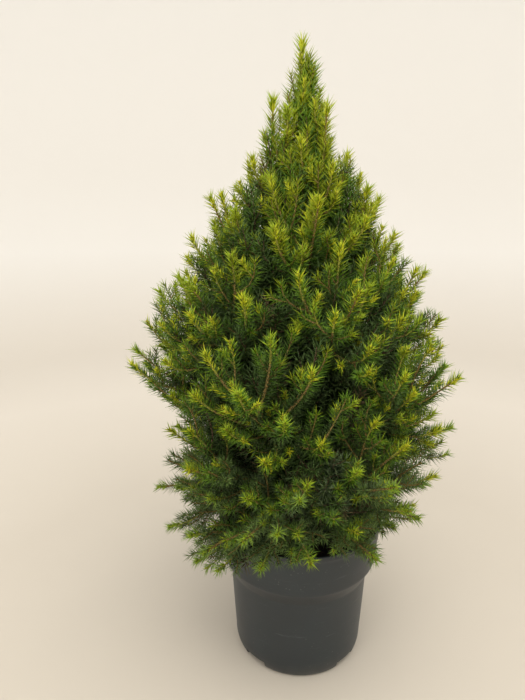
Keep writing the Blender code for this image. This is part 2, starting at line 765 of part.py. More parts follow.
def is_free(limb, blade, stalks, others, wood, sprays):
    """Whether a capsule of needles keeps clear of the pot, the other cores, all wood and all other sprays."""
    if not clears_pot(blade) or any(core_distance(blade, planes) < 2 * GAP for planes in others):
        return False
    if any(touches(limb["name"], owner, blade, stalks, c, 0.0) for owner, c in wood):
        return False
    mingle = TOP_MINGLE if blade[1].z > TOP_Z else MINGLE
    return not any(touches(limb["name"], owner, blade, stalks, c, mingle) for owner, c in sprays)


def touches(name, owner, capsule, stalks, other, share):
    """Own wood may pass through a spray, and own sprays may mingle by a share; the rest keeps clear."""
    if owner == name:
        return capsule_distance(capsule, other) < share * (capsule[2] + other[2])
    if capsule_distance(capsule, other) < capsule[2] + other[2] + 2 * GAP:
        return True
    return any(capsule_distance(stalk, other) < stalk[2] + other[2] + 2 * GAP for stalk in stalks)


# --- Limbs and foliage as solids -------------------------------------------------------------------------


def spray_mesh(spray):
    """A slim three-sided core that tiers of needles stand out of, each needle a pyramid that leans forward.

    The bare stalk runs from the root, sunk in its stem, past the knee to where the needles begin."""
    root, knee, start, tip = spray["line"]
    length = (tip - start).length
    heading = (tip - start) / length
    lower = (knee - root).normalized()
    tiers = max(2, round(length / TIER_LENGTH))
    centres, directions = [root, knee], [lower, (lower + heading).normalized()]
    if start != knee:
        centres.append(start)
        directions.append(heading)
    bare = len(centres) - 1
    centres += [start + heading * length * SPRAY_TIERS_END * (i + 1) / tiers for i in range(tiers)]
    directions += [heading] * tiers
    points, faces = [], []
    for ring, (centre, direction) in enumerate(zip(centres, directions)):
        u, v = across(direction)
        radius = TWIG_R * (TWIG_THICK[0] + (TWIG_THICK[1] - TWIG_THICK[0]) * ring / (tiers + bare))
        for k in range(3):
            angle = spray["turn"] + math.pi / 3 * (2 * k + ring)
            points.append(centre + (u * math.cos(angle) + v * math.sin(angle)) * radius)
    faces.append((0, 1, 2))
    for ring in range(len(centres) - 1):
        for k in range(3):
            low, low_next = ring * 3 + k, ring * 3 + (k + 1) % 3
            high, high_before = low + 3, (ring + 1) * 3 + (k + 2) % 3
            faces.append((low, high_before, high))
            corners = (low, high, low_next)
            if ring < bare:
                faces.append(corners)
                continue
            middle = sum((points[corner] for corner in corners), Vector()) / 3
            out = middle - centres[ring]
            out = (out - heading * out.dot(heading)).normalized()
            reach = spray["reach"] * interpolate(REACHES, (ring - bare) / (tiers - 1))
            points.append(middle + out * reach + heading * reach * NEEDLE_LEAN)
            faces += [(corners[i], corners[(i + 1) % 3], len(points) - 1) for i in range(3)]
    top = (len(centres) - 1) * 3
    points.append(tip)
    faces += [(top + (k + 1) % 3, top + k, len(points) - 1) for k in range(3)]
    return points, faces


def make_bough(limb):
    thick = bough_radius(limb["level"])
    count = len(limb["bough"])
    radii = [thick * (1 - (1 - BOUGH_TIP_SHARE) * i / (count - 1)) for i in range(count)]
    points, faces = tube(limb["bough"], radii, BOUGH_SIDES, True, (None, limb["cut"]))
    new_object("bough_" + limb["name"], points, faces, BARK)


def keep_largest(obj):
    """Keeps an object's largest shell: a loose scrap is dropped and a sealed hollow filled."""
    mesh = bmesh.new()
    mesh.from_mesh(obj.data)
    left, shells = set(mesh.verts), []
    while left:
        reached = [left.pop()]
        for vert in reached:
            near = {edge.other_vert(vert) for edge in vert.link_edges} & left
            left -= near
            reached += near
        shells.append(reached)
    shells.sort(key=len)
    spare = [vert for shell in shells[:-1] for vert in shell]
    bmesh.ops.delete(mesh, geom=spare, context="VERTS")
    bmesh.ops.dissolve_limit(mesh, angle_limit=FLAT, verts=mesh.verts, edges=mesh.edges)
    bmesh.ops.triangulate(mesh, faces=mesh.faces)
    mesh.to_mesh(obj.data)
    mesh.free()


def is_sound(obj):
    """Whether an object's surface is closed and touches itself nowhere."""
    mesh = bmesh.new()
    mesh.from_mesh(obj.data)
    sound = all(vert.is_manifold for vert in mesh.verts) and all(edge.is_manifold for edge in mesh.edges)
    mesh.free()
    return sound


def join_foliage(limb, sprays):
    """One solid of a limb's stem, core and sprays."""
    stem = limb["stem"]
    count = len(stem)
    radii = [limb["radius"] * (1 - STEM_THINNING * i / (count - 1)) for i in range(count)]
    seated = limb["bough"] is None and limb["name"] != "leader"
    solid = tube(stem, radii, STEM_SIDES, seated, (limb["cut"], None))
    mass = new_object("foliage_" + limb["name"], *solid, NEEDLES)
    pieces = bpy.data.collections.new("pieces_" + limb["name"])
    bpy.context.scene.collection.children.link(pieces)
    points, faces, _ = limb["core"]
    if faces:
        new_object("core_" + limb["name"], points, faces, NEEDLES, pieces)
    for number, spray in enumerate(sprays):
        new_object(f"spray_{limb['name']}_{number}", *spray_mesh(spray), NEEDLES, pieces)
    boolean(mass, "UNION", pieces, "MANIFOLD")
    bake_modifiers(mass)
    keep_largest(mass)
    for piece in list(pieces.objects):
        bpy.data.objects.remove(piece, do_unlink=True)
    bpy.data.collections.remove(pieces)
    return mass


def make_foliage(limb):
    """Joins a limb's foliage, with a spray less for each time that the surface comes out unsound."""
    sprays = list(limb["sprays"])
    mass = join_foliage(limb, sprays)
    while sprays and not is_sound(mass):
        sprays.pop()
        bpy.data.objects.remove(mass, do_unlink=True)
        mass = join_foliage(limb, sprays)


def main():
    clear_scene()
    make_pot()
    make_soil()
    make_trunk()
    for limb in grow_crown():
        if limb["bough"]:
            make_bough(limb)
        make_foliage(limb)


main()
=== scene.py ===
"""The look of a young dwarf spruce in a nursery pot, on a pale studio floor.

The plant grows on from the part's own limbs by the rule that made its solids: whorls of limbs on a
tapering trunk, and twigs from them to points spread over the crown's outline. Here the twigs bear side
shoots, needles and buds. Metres, +Z up, the front towards -Y.
"""

import random
from collections import namedtuple
from math import atan2, ceil, cos, degrees, hypot, inf, pi, radians, sin, sqrt

import bmesh
import bpy
import numpy as np
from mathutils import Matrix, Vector, noise


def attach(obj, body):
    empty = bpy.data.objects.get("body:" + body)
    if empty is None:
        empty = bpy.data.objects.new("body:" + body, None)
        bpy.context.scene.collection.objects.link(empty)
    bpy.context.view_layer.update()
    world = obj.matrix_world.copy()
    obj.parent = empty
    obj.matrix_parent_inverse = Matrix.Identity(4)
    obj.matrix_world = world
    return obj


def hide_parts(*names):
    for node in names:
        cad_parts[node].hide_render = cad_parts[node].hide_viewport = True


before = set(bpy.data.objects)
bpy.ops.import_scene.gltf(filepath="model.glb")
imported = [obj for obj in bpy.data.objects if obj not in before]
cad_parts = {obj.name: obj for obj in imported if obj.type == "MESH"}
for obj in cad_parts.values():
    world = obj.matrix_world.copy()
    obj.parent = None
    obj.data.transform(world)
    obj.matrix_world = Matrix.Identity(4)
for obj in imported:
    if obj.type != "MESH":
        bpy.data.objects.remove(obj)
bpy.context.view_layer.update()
MASSES = sorted(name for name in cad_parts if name.startswith("foliage_"))
BOUGHS = sorted(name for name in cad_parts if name.startswith("bough_"))

# --- The part's own sizes ---

GAP = 0.0003
POT_HEIGHT = 0.1645
RIM_R = 0.0930
COLLAR_Z = 0.1165
COLLAR_R = 0.0880
SHOULDER_Z = 0.1000
SHOULDER_R = 0.0794
FOOT_R = 0.0744
BASE_R = 0.0702
FOOT_ROUND = 0.018
WALL = 0.0018
NOTCHES = 4
NOTCH_WIDTH = 0.0290
NOTCH_HEIGHT = 0.0095
NOTCH_INNER_R = 0.0540
SOIL_TOP = 0.1480
TRUNK_TOP = 0.5650
TRUNK_R = 0.0080
TRUNK_TIP_R = 0.0019
FLARE_R = 0.0032
FLARE_HEIGHT = 0.018
TRUNK_SWAY = 0.0020
TRUNK_LEAN = -0.0075
TRUNK_RINGS = 13
OUTLINE = (
    (0.110, 0.136, 0.110),
    (0.140, 0.150, 0.114),
    (0.176, 0.161, 0.119),
    (0.215, 0.153, 0.138),
    (0.260, 0.148, 0.167),
    (0.305, 0.152, 0.158),
    (0.355, 0.177, 0.154),
    (0.405, 0.166, 0.146),
    (0.440, 0.144, 0.122),
    (0.470, 0.124, 0.100),
    (0.510, 0.094, 0.076),
    (0.540, 0.068, 0.062),
    (0.580, 0.044, 0.026),
    (0.612, 0.028, 0.016),
    (0.650, 0.012, 0.010),
)
HEM_Z = 0.142
BACK_HEM_Z = 0.150
FRONT_HEM_Z = 0.170
HEM_DIP = 0.020
HEM_DIP_AZIMUTH = -146
HEM_DIP_POWER = 6
Whorl = namedtuple("Whorl", "count azimuth root_z tip_z front_tip_z front_reach lift bough")
WHORLS = (
    Whorl(5, 154, 0.163, 0.160, 0.182, 0.132, 22, True),
    Whorl(5, 182, 0.188, 0.196, 0.220, 0.152, 14, True),
    Whorl(5, 2, 0.216, 0.262, 0.272, 0.164, 6, True),
    Whorl(5, 181, 0.262, 0.354, 0.350, 0.164, 12, True),
    Whorl(5, 0, 0.330, 0.436, 0.432, 0.130, 22, False),
    Whorl(4, 184, 0.405, 0.510, 0.506, 0.090, 30, False),
    Whorl(3, 180, 0.470, 0.603, 0.588, 0.034, 54, False),
)
AZIMUTH_JITTER = 7.0
REACH_JITTER = 0.04
BOUGH_R = 0.0036
BOUGH_THINNING = 0.0030
BOUGH_END = 0.42
STEM_R = 0.0018
CROWN_TOP = 0.6490
TWIGS = 205
GOLDEN_ANGLE = 137.508
OUTLINE_JITTER = (0.90, 1.04)
TOP_BIAS = 0.03
SPRAY_LENGTH = 0.042
LEADERS = ("leader", "7_1")
LEADER_SPRAY = 0.078
TIP_BEYOND = 0.012
TWIG_REACH = (0.004, 0.075)
FORK = 42
RISE = ((0.14, -8), (0.20, 16), (0.27, 38), (0.36, 54), (0.45, 68), (0.55, 80))
SEED = 7

# --- What this scene adds ---

NEEDLE_BEYOND = 0.0085  # how far the last needles reach past a shoot's own tip
LEADER_BEYOND = 0.0098
# A shoot's needles: how many a metre, how many more at a fresh tip, their length and half width, and how
# far from that tip they are bright
Look = namedtuple("Look", "density crowd length half bright")
LOOKS = {
    "leader": Look(1800, 60, 0.0165, 0.00056, (0.014, 0.018)),
    "limb": Look(2000, 40, 0.0138, 0.00055, (0.011, 0.016)),
    "twig": Look(2000, 38, 0.0134, 0.00054, (0.009, 0.014)),
    "side": Look(1750, 24, 0.0120, 0.00051, (0.006, 0.010)),
    "fine": Look(1650, 22, 0.0116, 0.00050, (0.005, 0.009)),
    "inner": Look(880, 0, 0.0152, 0.00070, (0.0, 0.0)),
}
# Tips of small shoots that hang over the pot's rim
HANGING = (
    (-0.1313, -0.0424, 0.1296),
    (-0.1170, -0.0731, 0.1650),
    (-0.1057, -0.0888, 0.1465),
    (-0.0917, -0.0849, 0.1553),
    (-0.0825, -0.0939, 0.1760),
    (-0.0715, -0.0862, 0.1510),
    (-0.0584, -0.1105, 0.1740),
    (-0.0432, -0.1173, 0.1780),
    (-0.0172, -0.1238, 0.1770),
    (-0.0035, -0.1250, 0.1830),
    (0.0390, -0.1187, 0.1830),
    (0.0660, -0.1062, 0.1830),
    (0.0773, -0.0982, 0.1680),
    (0.0620, -0.0933, 0.1640),
)
RIM_CLEAR = 0.004  # how far shoots keep clear of the rim
RIM_INSIDE = 0.020  # further in they may dip this close to the soil
SOIL_CLEAR = 0.006
STEP_COST = 0.03  # a first stretch this long costs a twig as much as a fork this many degrees off
FORK_COST = 40
ROOT_SHARES = (0.1, 0.6)  # where twigs leave each stretch of a stem
FRESH_SHARE = ((0.15, 0.26), (0.22, 0.48), (0.30, 0.84), (0.40, 1.0))
FRESH_BY_KIND = {"twig": 1.1, "side": 0.50, "fine": 0.40, "inner": 0.0}
SPIRE_Z = 0.608  # above this the leader stands free of its neighbours
TOP_Z = 0.56  # above this twigs have short side shoots, and small ones none

BOUGH_BARE = 0.42  # shares of a shoot's length that bear no needles
STEM_BARE = 0.25
TWIG_BARE = 0.12
FINE_BARE = 0.10
TWIG_THICK = 0.0013
FINE_THICK = 0.0008
SIDE_THICK = 0.0007
# Side shoots of an axis: where along it they start and end, their lengths, and the step between them
Sides = namedtuple("Sides", "start end lengths spacing")
LEADER_SIDES = Sides(0.30, 0.36, (0.014, 0.020), 0.013)
TRUNK_SIDES_START = 0.05
LIMB_SIDES = Sides(0.30, 0.80, (0.018, 0.034), 0.013)
HIDDEN_SIDES = Sides(0.10, 0.55, (0.016, 0.030), 0.010)
TWIG_SIDES = Sides(0.15, 0.66, (0.015, 0.026), 0.0155)
TOP_SIDES = Sides(0.15, 0.66, (0.010, 0.016), 0.0155)
FINE_SIDES = Sides(0.25, 0.85, (0.011, 0.019), 0.022)
INNER_SIDES = Sides(0.25, 0.85, (0.014, 0.022), 0.016)
SIDE_FORK = 48
SIDE_FORK_JITTER = 9
SIDE_BIAS = 0.45  # how much a side shoot bends towards how it wants to grow
HIDDEN_BIAS = 0.3
IN_RANK = 0.72  # share of the side shoots within the first roll, in degrees; the rest are within the second
RANK_ROLL = 42
ODD_ROLL = (60, 120)

# Twigs of the next order: how many, the shares of the outline's radius they end at, and their spiral's turn
FINE_TWIGS = (400, (0.74, 1.0), 77)
INNER_TWIGS = (860, (0.22, 0.90), 31)
DEEP_TWIGS = (280, (0.40, 0.80), 55)
FINE_SPRAY = 0.030
FINE_REACH = (0.006, 0.070)
INNER_REACH = (0.006, 0.110)
TRUNK_ROOTS = 70  # places on the trunk for fine twigs, between these heights
TRUNK_WOOD = (0.19, TRUNK_TOP - 0.05)

CROWD_REACH = 0.010  # how far from a shoot's tip its needles crowd and arch
LEAN = (66, 40)  # degrees between needle and shoot, and how many fewer there are at the tip
LEADER_LEAN = (46, 24)
LEAN_JITTER = 9
ARCH = 22  # degrees that needles arch outwards at a tip
HOOK = 6  # degrees that they hook forwards below it
LIGHTWARD = 0.10
NEEDLE_PARTS = (0.42, 0.58)  # shares of a needle before and after its bend
NEEDLE_SIZES = (0.80, 1.12)
NEEDLE_WIDTHS = (0.9, 1.1)
LAST_SHORTER = 0.14  # how much shorter a shoot's last needles are
LAST_REACH = 0.004
SHORT_SHARES = (0.48, 0.16)  # short needles among the bright ones, and just below them
SHORT_BELOW = 0.008
SHORT_SIZE = 0.55
SHORT_LEAN = 0.7
BRIGHT_THINNER = 0.12
THICKER_FROM = 0.038  # depth from which the inner needles get broader
THICKER_OVER = 0.045
RIM_BAND = (0.012, 0.003)  # no needle ends on the rim, this far inside and outside it
NEEDLE_CLEAR = 0.002

rng = np.random.default_rng(SEED)


# --- Helpers ---


def value_at(table, x):
    """Value at x in a table of (x, value) rows, held level past its ends."""
    if x <= table[0][0]:
        return table[0][1]
    for (x0, v0), (x1, v1) in zip(table, table[1:]):
        if x <= x1:
            return v0 + (v1 - v0) * (x - x0) / (x1 - x0)
    return table[-1][1]


def unit(rows):
    return rows / np.maximum(np.linalg.norm(rows, axis=-1, keepdims=True), 1e-12)


def linked(name, data):
    obj = bpy.data.objects.new(name, data)
    bpy.context.scene.collection.objects.link(obj)
    return obj


def mesh_object(name, points, faces, material):
    """A smooth mesh from an array of points and an array of triangles or of quads."""
    points = np.asarray(points, np.float32)
    faces = np.asarray(faces, np.int32)
    count, size = faces.shape
    mesh = bpy.data.meshes.new(name)
    mesh.vertices.add(len(points))
    mesh.vertices.foreach_set("co", points.ravel())
    mesh.loops.add(count * size)
    mesh.loops.foreach_set("vertex_index", faces.ravel())
    mesh.polygons.add(count)
    mesh.polygons.foreach_set("loop_start", np.arange(count, dtype=np.int32) * size)
    mesh.update(calc_edges=True)
    mesh.validate()
    mesh.shade_smooth()
    mesh.materials.append(material)
    return linked(name, mesh)


# --- Materials ---


def feed(node, inputs):
    """Gives a node's inputs these values, or links these outputs to them."""
    for title, value in inputs.items():
        if isinstance(value, bpy.types.NodeSocket):
            node.id_data.links.new(value, node.inputs[title])
        else:
            node.inputs[title].default_value = value
    return node


def new_material(name, inputs):
    """A material and its shader."""
    made = bpy.data.materials.new(name)
    made.use_nodes = True
    return made, feed(made.node_tree.nodes["Principled BSDF"], inputs)


def add_node(beside, kind, inputs):
    """A new node in the same tree as another node or output."""
    return feed(beside.id_data.nodes.new("ShaderNode" + kind), inputs)


def linear(rgb):
    """Linear colour from 0 to 255 sRGB numbers."""
    share = [c / 255 for c in rgb]
    return tuple(c / 12.92 if c <= 0.04045 else ((c + 0.055) / 1.055) ** 2.4 for c in share) + (1.0,)


def coordinates(shader, scale=(1, 1, 1)):
    place = add_node(shader, "TexCoord", {}).outputs["Object"]
    return add_node(shader, "Mapping", {"Vector": place, "Scale": scale}).outputs["Vector"]


def height_of(place):
    return add_node(place, "SeparateXYZ", {"Vector": place}).outputs["Z"]


def texture(kind, place, **inputs):
    """The value of a noise, or the distance in a Voronoi pattern."""
    node = add_node(place, "Tex" + kind, {"Vector": place, **inputs})
    return node.outputs["Fac" if kind == "Noise" else "Distance"]


def ramp(value, *stops):
    """Tones between (place, tone) stops: each a grey from 0 to 1, or an sRGB colour from 0 to 255."""
    node = add_node(value, "ValToRGB", {"Fac": value})
    elements = node.color_ramp.elements
    while len(elements) < len(stops):
        elements.new(0.5)
    for element, (place, tone) in zip(elements, stops):
        element.position = place
        element.color = linear(tone) if isinstance(tone, tuple) else (tone, tone, tone, 1.0)
    return node.outputs["Color"]


def mix(share, a, b, blend="MIX"):
    """A mix of two outputs, or of an output and an sRGB colour."""
    node = add_node(a, "Mix", {})
    node.data_type = "RGBA"
    node.blend_type = blend
    feed(node, {0: share, 6: a, 7: linear(b) if isinstance(b, tuple) else b})
    return node.outputs[2]


def bump(height, strength, distance):
    inputs = {"Height": height, "Strength": strength, "Distance": distance}
    return add_node(height, "Bump", inputs).outputs["Normal"]


def needle_material(name, rgb, roughness):
    """A needle's waxy skin: one plain colour, with a slightly uneven gloss."""
    made, shader = new_material(name, {"Base Color": linear(rgb), "Specular IOR Level": 0.30})
    wax = texture("Noise", coordinates(shader), Scale=420.0, Detail=2.0)
    feed(shader, {"Roughness": ramp(wax, (0.3, roughness - 0.08), (0.7, roughness + 0.08))})
    return made


def bark_material(name, dark, mid, light, scale, depth):
    """Scaly bark: fine plates with darker cracks between them."""
    made, shader = new_material(name, {"Roughness": 0.88, "Specular IOR Level": 0.25})
    place = coordinates(shader, (1.0, 1.0, 0.45))
    plates = texture("Voronoi", place, Scale=scale)
    plates.node.feature = "DISTANCE_TO_EDGE"
    grain = texture("Noise", place, Scale=scale * 1.7, Detail=5.0, Roughness=0.62)
    tint = ramp(grain, (0.32, dark), (0.5, mid), (0.7, light))
    cracks = ramp(plates, (0.0, 0.35), (0.12, 1.0))
    height = mix(0.5, grain, cracks, "MULTIPLY")
    feed(shader, {"Base Color": mix(1.0, tint, cracks, "MULTIPLY"), "Normal": bump(height, 0.7, depth)})
    return made


def plastic_material():
    """Dull dark grey plastic: scuffs, dust, a faint orange-peel grain, painted shade under the collar."""
    skin = {"Specular IOR Level": 0.56, "Sheen Weight": 0.09, "Sheen Roughness": 0.35}
    made, shader = new_material("pot_plastic_look", skin)
    place = coordinates(shader)
    height = height_of(place)
    cloud = texture("Noise", place, Scale=14.0, Detail=4.0, Roughness=0.6)
    fine = texture("Noise", place, Scale=900.0, Detail=2.0)
    stretched = coordinates(shader, (1.0, 1.0, 9.0))
    streak = texture("Noise", stretched, Scale=30.0, Detail=6.0, Roughness=0.7)
    specks = texture("Voronoi", place, Scale=170.0)
    shown = ramp(cloud, (0.3, (29, 36, 41)), (0.55, (33, 41, 46)), (0.75, (40, 48, 52)))
    shown = mix(ramp(streak, (0.60, 0.0), (0.74, 0.55)), shown, (86, 90, 91))
    dots, some = ramp(specks, (0.09, 0.36), (0.17, 0.0)), ramp(cloud, (0.50, 0.0), (0.62, 1.0))
    shown = mix(mix(1.0, dots, some, "MULTIPLY"), shown, (118, 118, 112))
    # painted shade: the sloping shoulder under the collar is darkened to 0.64 of the pot's colour
    slope = [(SHOULDER_Z - 0.002, 1.0), (SHOULDER_Z + 0.002, 0.64)]
    slope += [(COLLAR_Z - 0.003, 0.64), (COLLAR_Z + 0.001, 1.0)]
    shown = mix(1.0, shown, ramp(height, *slope), "MULTIPLY")
    dusty = mix(1.0, ramp(height, (0.0, 1.0), (0.030, 0.0)), cloud, "MULTIPLY")
    shown = mix(ramp(dusty, (0.15, 0.0), (0.7, 0.30)), shown, (104, 98, 86))
    gloss = ramp(cloud, (0.3, 0.46), (0.7, 0.58))
    feed(shader, {"Base Color": shown, "Roughness": gloss, "Normal": bump(fine, 0.12, 0.0004)})
    return made


def soil_material():
    """Dark crumbly potting soil."""
    made, shader = new_material("potting_soil_look", {"Roughness": 0.95})
    place = coordinates(shader)
    clods = texture("Noise", place, Scale=70.0, Detail=6.0, Roughness=0.7)
    tint = ramp(clods, (0.3, (30, 22, 16)), (0.5, (58, 42, 30)), (0.72, (96, 74, 54)))
    shade = ramp(texture("Voronoi", place, Scale=260.0), (0.0, 1.0), (0.8, 0.4))
    feed(shader, {"Base Color": mix(1.0, tint, shade, "MULTIPLY"), "Normal": bump(clods, 0.9, 0.003)})
    return made


def floor_material():
    """Pale paper, with painted light: paler far from the plant and higher up."""
    made, shader = new_material("floor_paper", {"Roughness": 0.9, "Specular IOR Level": 0.2})
    place = coordinates(shader)
    cloud = texture("Noise", place, Scale=1.5, Detail=3.0)
    paper = ramp(cloud, (0.3, (204, 197, 186)), (0.7, (209, 202, 191)))
    # painted light: the paper is painted paler from 0.45 m to 1 m out from the plant and up the curve
    reach = add_node(place, "VectorMath", {0: place})
    reach.operation = "LENGTH"
    far = ramp(reach.outputs["Value"], (0.45, 0.0), (1.0, 1.0))
    rise = ramp(height_of(place), (0.0, 0.0), (0.35, 1.0))
    feed(shader, {"Base Color": mix(rise, mix(far, paper, (226, 220, 211)), (244, 243, 241))})
    return made


# --- Trunk, limbs and targets, by the part's own rule ---


def trunk_rings():
    """Rows of (height, middle, radius) up the trunk."""
    base = SOIL_TOP + GAP
    steps = [(i / (TRUNK_RINGS - 1)) ** 1.25 for i in range(TRUNK_RINGS)]
    heights = [base, base + 0.35 * FLARE_HEIGHT] + [base + (TRUNK_TOP - base) * step for step in steps[1:]]
    rings = []
    for z in heights:
        share = (z - base) / (TRUNK_TOP - base)
        flare = FLARE_R * max(0.0, 1 - (z - base) / FLARE_HEIGHT) ** 2
        x = TRUNK_SWAY * sin(1.3 * 2 * pi * share) + TRUNK_LEAN * share**2
        y = TRUNK_SWAY * (sin(0.9 * 2 * pi * share + 0.6) - sin(0.6))
        rings.append((z, Vector((x, y, z)), TRUNK_R + (TRUNK_TIP_R - TRUNK_R) * share**0.9 + flare))
    return rings


TRUNK = trunk_rings()


def trunk_point(z):
    return value_at([row[:2] for row in TRUNK], z)


def trunk_radius(z):
    return value_at([row[::2] for row in TRUNK], z)


def bezier(a, b, c, t):
    return a * (1 - t) ** 2 + b * 2 * t * (1 - t) + c * t**2


def curve(a, b, c, count):
    return [bezier(a, b, c, i / (count - 1)) for i in range(count)]


def facing(azimuth, side):
    """How much a direction faces a side: -1 is the front and 1 the back."""
    return max(0.0, side * sin(radians(azimuth))) ** 1.5


def hem_height(azimuth):
    """Height of the crown's lowest tips on a side."""
    dip = max(0.0, cos(radians(azimuth - HEM_DIP_AZIMUTH))) ** HEM_DIP_POWER * HEM_DIP
    front, back = facing(azimuth, -1), facing(azimuth, 1)
    return HEM_Z + (FRONT_HEM_Z - HEM_Z) * front + (BACK_HEM_Z - HEM_Z) * back - dip


def outline_radius(z, azimuth):
    left = value_at([row[:2] for row in OUTLINE], z)
    right = value_at([row[::2] for row in OUTLINE], z)
    return left + (right - left) * (0.5 + 0.5 * cos(radians(azimuth)))


def limb_line(whorl, azimuth, reach_share):
    front = facing(azimuth, -1)
    tip_z = whorl.tip_z + (whorl.front_tip_z - whorl.tip_z) * front
    reach = outline_radius(whorl.tip_z, azimuth)
    reach = (reach + (whorl.front_reach - reach) * front) * reach_share
    out = Vector((cos(radians(azimuth)), sin(radians(azimuth)), 0))
    root = trunk_point(whorl.root_z) + out * trunk_radius(whorl.root_z)
    tip = out * reach + Vector((0, 0, tip_z))
    lift = radians(whorl.lift)
    start = out * cos(lift) + Vector((0, 0, sin(lift)))
    return root, root + start * (tip - root).length * 0.5, tip


Limb = namedtuple("Limb", "name level bough stem path")


def plan_limbs():
    """Every limb, with the stem that bears twigs, and its whole path from the trunk."""
    draws = random.Random(SEED)
    limbs = []
    for level, whorl in enumerate(WHORLS, start=1):
        for number in range(whorl.count):
            azimuth, share = whorl.azimuth + 360 / whorl.count * number, 1.0
            if number:
                azimuth += draws.uniform(-AZIMUTH_JITTER, AZIMUTH_JITTER)
                share += draws.uniform(-REACH_JITTER, REACH_JITTER)
            line = limb_line(whorl, azimuth, share)
            name = f"{level}_{number + 1}"
            first = BOUGH_END if whorl.bough else 0.0
            blade = LEADER_SPRAY if name in LEADERS else SPRAY_LENGTH
            beyond = LEADER_BEYOND if name in LEADERS else NEEDLE_BEYOND
            last = 1 - (blade - TIP_BEYOND) / (line[2] - line[0]).length
            whole = curve(*line, 17)
            stem = [bezier(*line, first + (last - first) * i / 4) for i in range(5)]
            tip = stem[-1] + (line[2] - stem[-1]).normalized() * (blade - beyond)
            reach = (stem[-1] - whole[0]).length
            path = [p for p in whole if (p - whole[0]).length < reach] + [stem[-1], tip]
            limbs.append(Limb(name, level, whorl.bough, stem, path))
    foot = trunk_point(TRUNK_TOP)
    top = Vector((foot.x, foot.y, CROWN_TOP + TIP_BEYOND - LEADER_BEYOND))
    path = [foot.lerp(top, i / 6) for i in range(7)]
    stem = [foot, Vector((foot.x, foot.y, CROWN_TOP + TIP_BEYOND - LEADER_SPRAY))]
    limbs.append(Limb("leader", len(WHORLS) + 1, False, stem, path))
    return limbs


def limb_radius(limb):
    return max(BOUGH_R - BOUGH_THINNING * (limb.level - 1) / len(WHORLS), STEM_R)


def outline_targets(draws, count=TWIGS, jitter=OUTLINE_JITTER, phase=0.0):
    """Points spread evenly over the crown's outline on a golden spiral."""
    low, high = OUTLINE[0][0], OUTLINE[-1][0]
    steps = 200
    heights = [low + (high - low) * i / steps for i in range(steps + 1)]
    areas = [0.0]
    for z0, z1 in zip(heights, heights[1:]):
        areas.append(areas[-1] + (outline_radius(z0, 90) + TOP_BIAS) * (z1 - z0))
    table = list(zip(areas, heights))
    targets = []
    for i in range(count):
        z = value_at(table, areas[-1] * (i + 0.5) / count)
        azimuth = (i * GOLDEN_ANGLE + phase) % 360
        radius = outline_radius(z, azimuth) * draws.uniform(*jitter)
        if z > hem_height(azimuth):
            angle = radians(azimuth)
            targets.append(Vector((radius * cos(angle), radius * sin(angle), z)))
    return targets


def growth(point):
    """How a shoot wants to grow there: drooping at the hem, and steeper towards the top."""
    rise = radians(value_at(RISE, point.z))
    out = Vector((point.x, point.y, 0)).normalized()
    return out * cos(rise) + Vector((0, 0, sin(rise)))


def best_root(knee, limbs):
    """The best place on the limbs' stems for a twig that bends at this knee."""
    found = []
    for limb in limbs:
        first = 0 if limb.bough or limb.name == "leader" else 1
        for a, b in list(zip(limb.stem, limb.stem[1:]))[first:]:
            heading = (b - a).normalized()
            for root in [a.lerp(b, share) for share in ROOT_SHARES]:
                step = knee - root
                if TWIG_REACH[0] < step.length < TWIG_REACH[1]:
                    turn = abs(degrees(step.angle(heading)) - FORK)
                    found.append((step.length / STEP_COST + turn / FORK_COST, root))
    return min(found, key=lambda pair: pair[0])[1] if found else None


# --- Shoots ---

# fresh: its tip is new and bright; bare: the share with no needles; turn: where the needles' spiral starts
Shoot = namedtuple("Shoot", "path kind fresh bare thick turn")
shoots = []


def lift_over_rim(point):
    """Moves a point that would lie in the pot or the soil up clear of it."""
    radius = hypot(point.x, point.y)
    floor = POT_HEIGHT + RIM_CLEAR if radius < RIM_R + RIM_CLEAR else 0.0
    if radius < RIM_R - RIM_INSIDE:
        floor = SOIL_TOP + SOIL_CLEAR
    return Vector((point.x, point.y, max(point.z, floor)))


def keep_inside(point):
    """Moves a shoot's tip inside the crown's outline."""
    limit = outline_radius(point.z, degrees(atan2(point.y, point.x)))
    radius = hypot(point.x, point.y)
    if radius > limit:
        point = Vector((point.x * limit / radius, point.y * limit / radius, point.z))
    return lift_over_rim(point)


def add_shoot(path, kind, fresh, bare, thick):
    rows = np.array([tuple(lift_over_rim(p)) for p in path])
    shoots.append(Shoot(rows, kind, fresh, bare, thick, rng.uniform(0, 2 * pi)))


def point_on(path, share):
    place = share * (len(path) - 1)
    index = min(int(place), len(path) - 2)
    return path[index].lerp(path[index + 1], place - index), (path[index + 1] - path[index]).normalized()


def freshness(z, kind):
    """The share of shoots with a bright new tip."""
    return value_at(FRESH_SHARE, z) * FRESH_BY_KIND[kind]


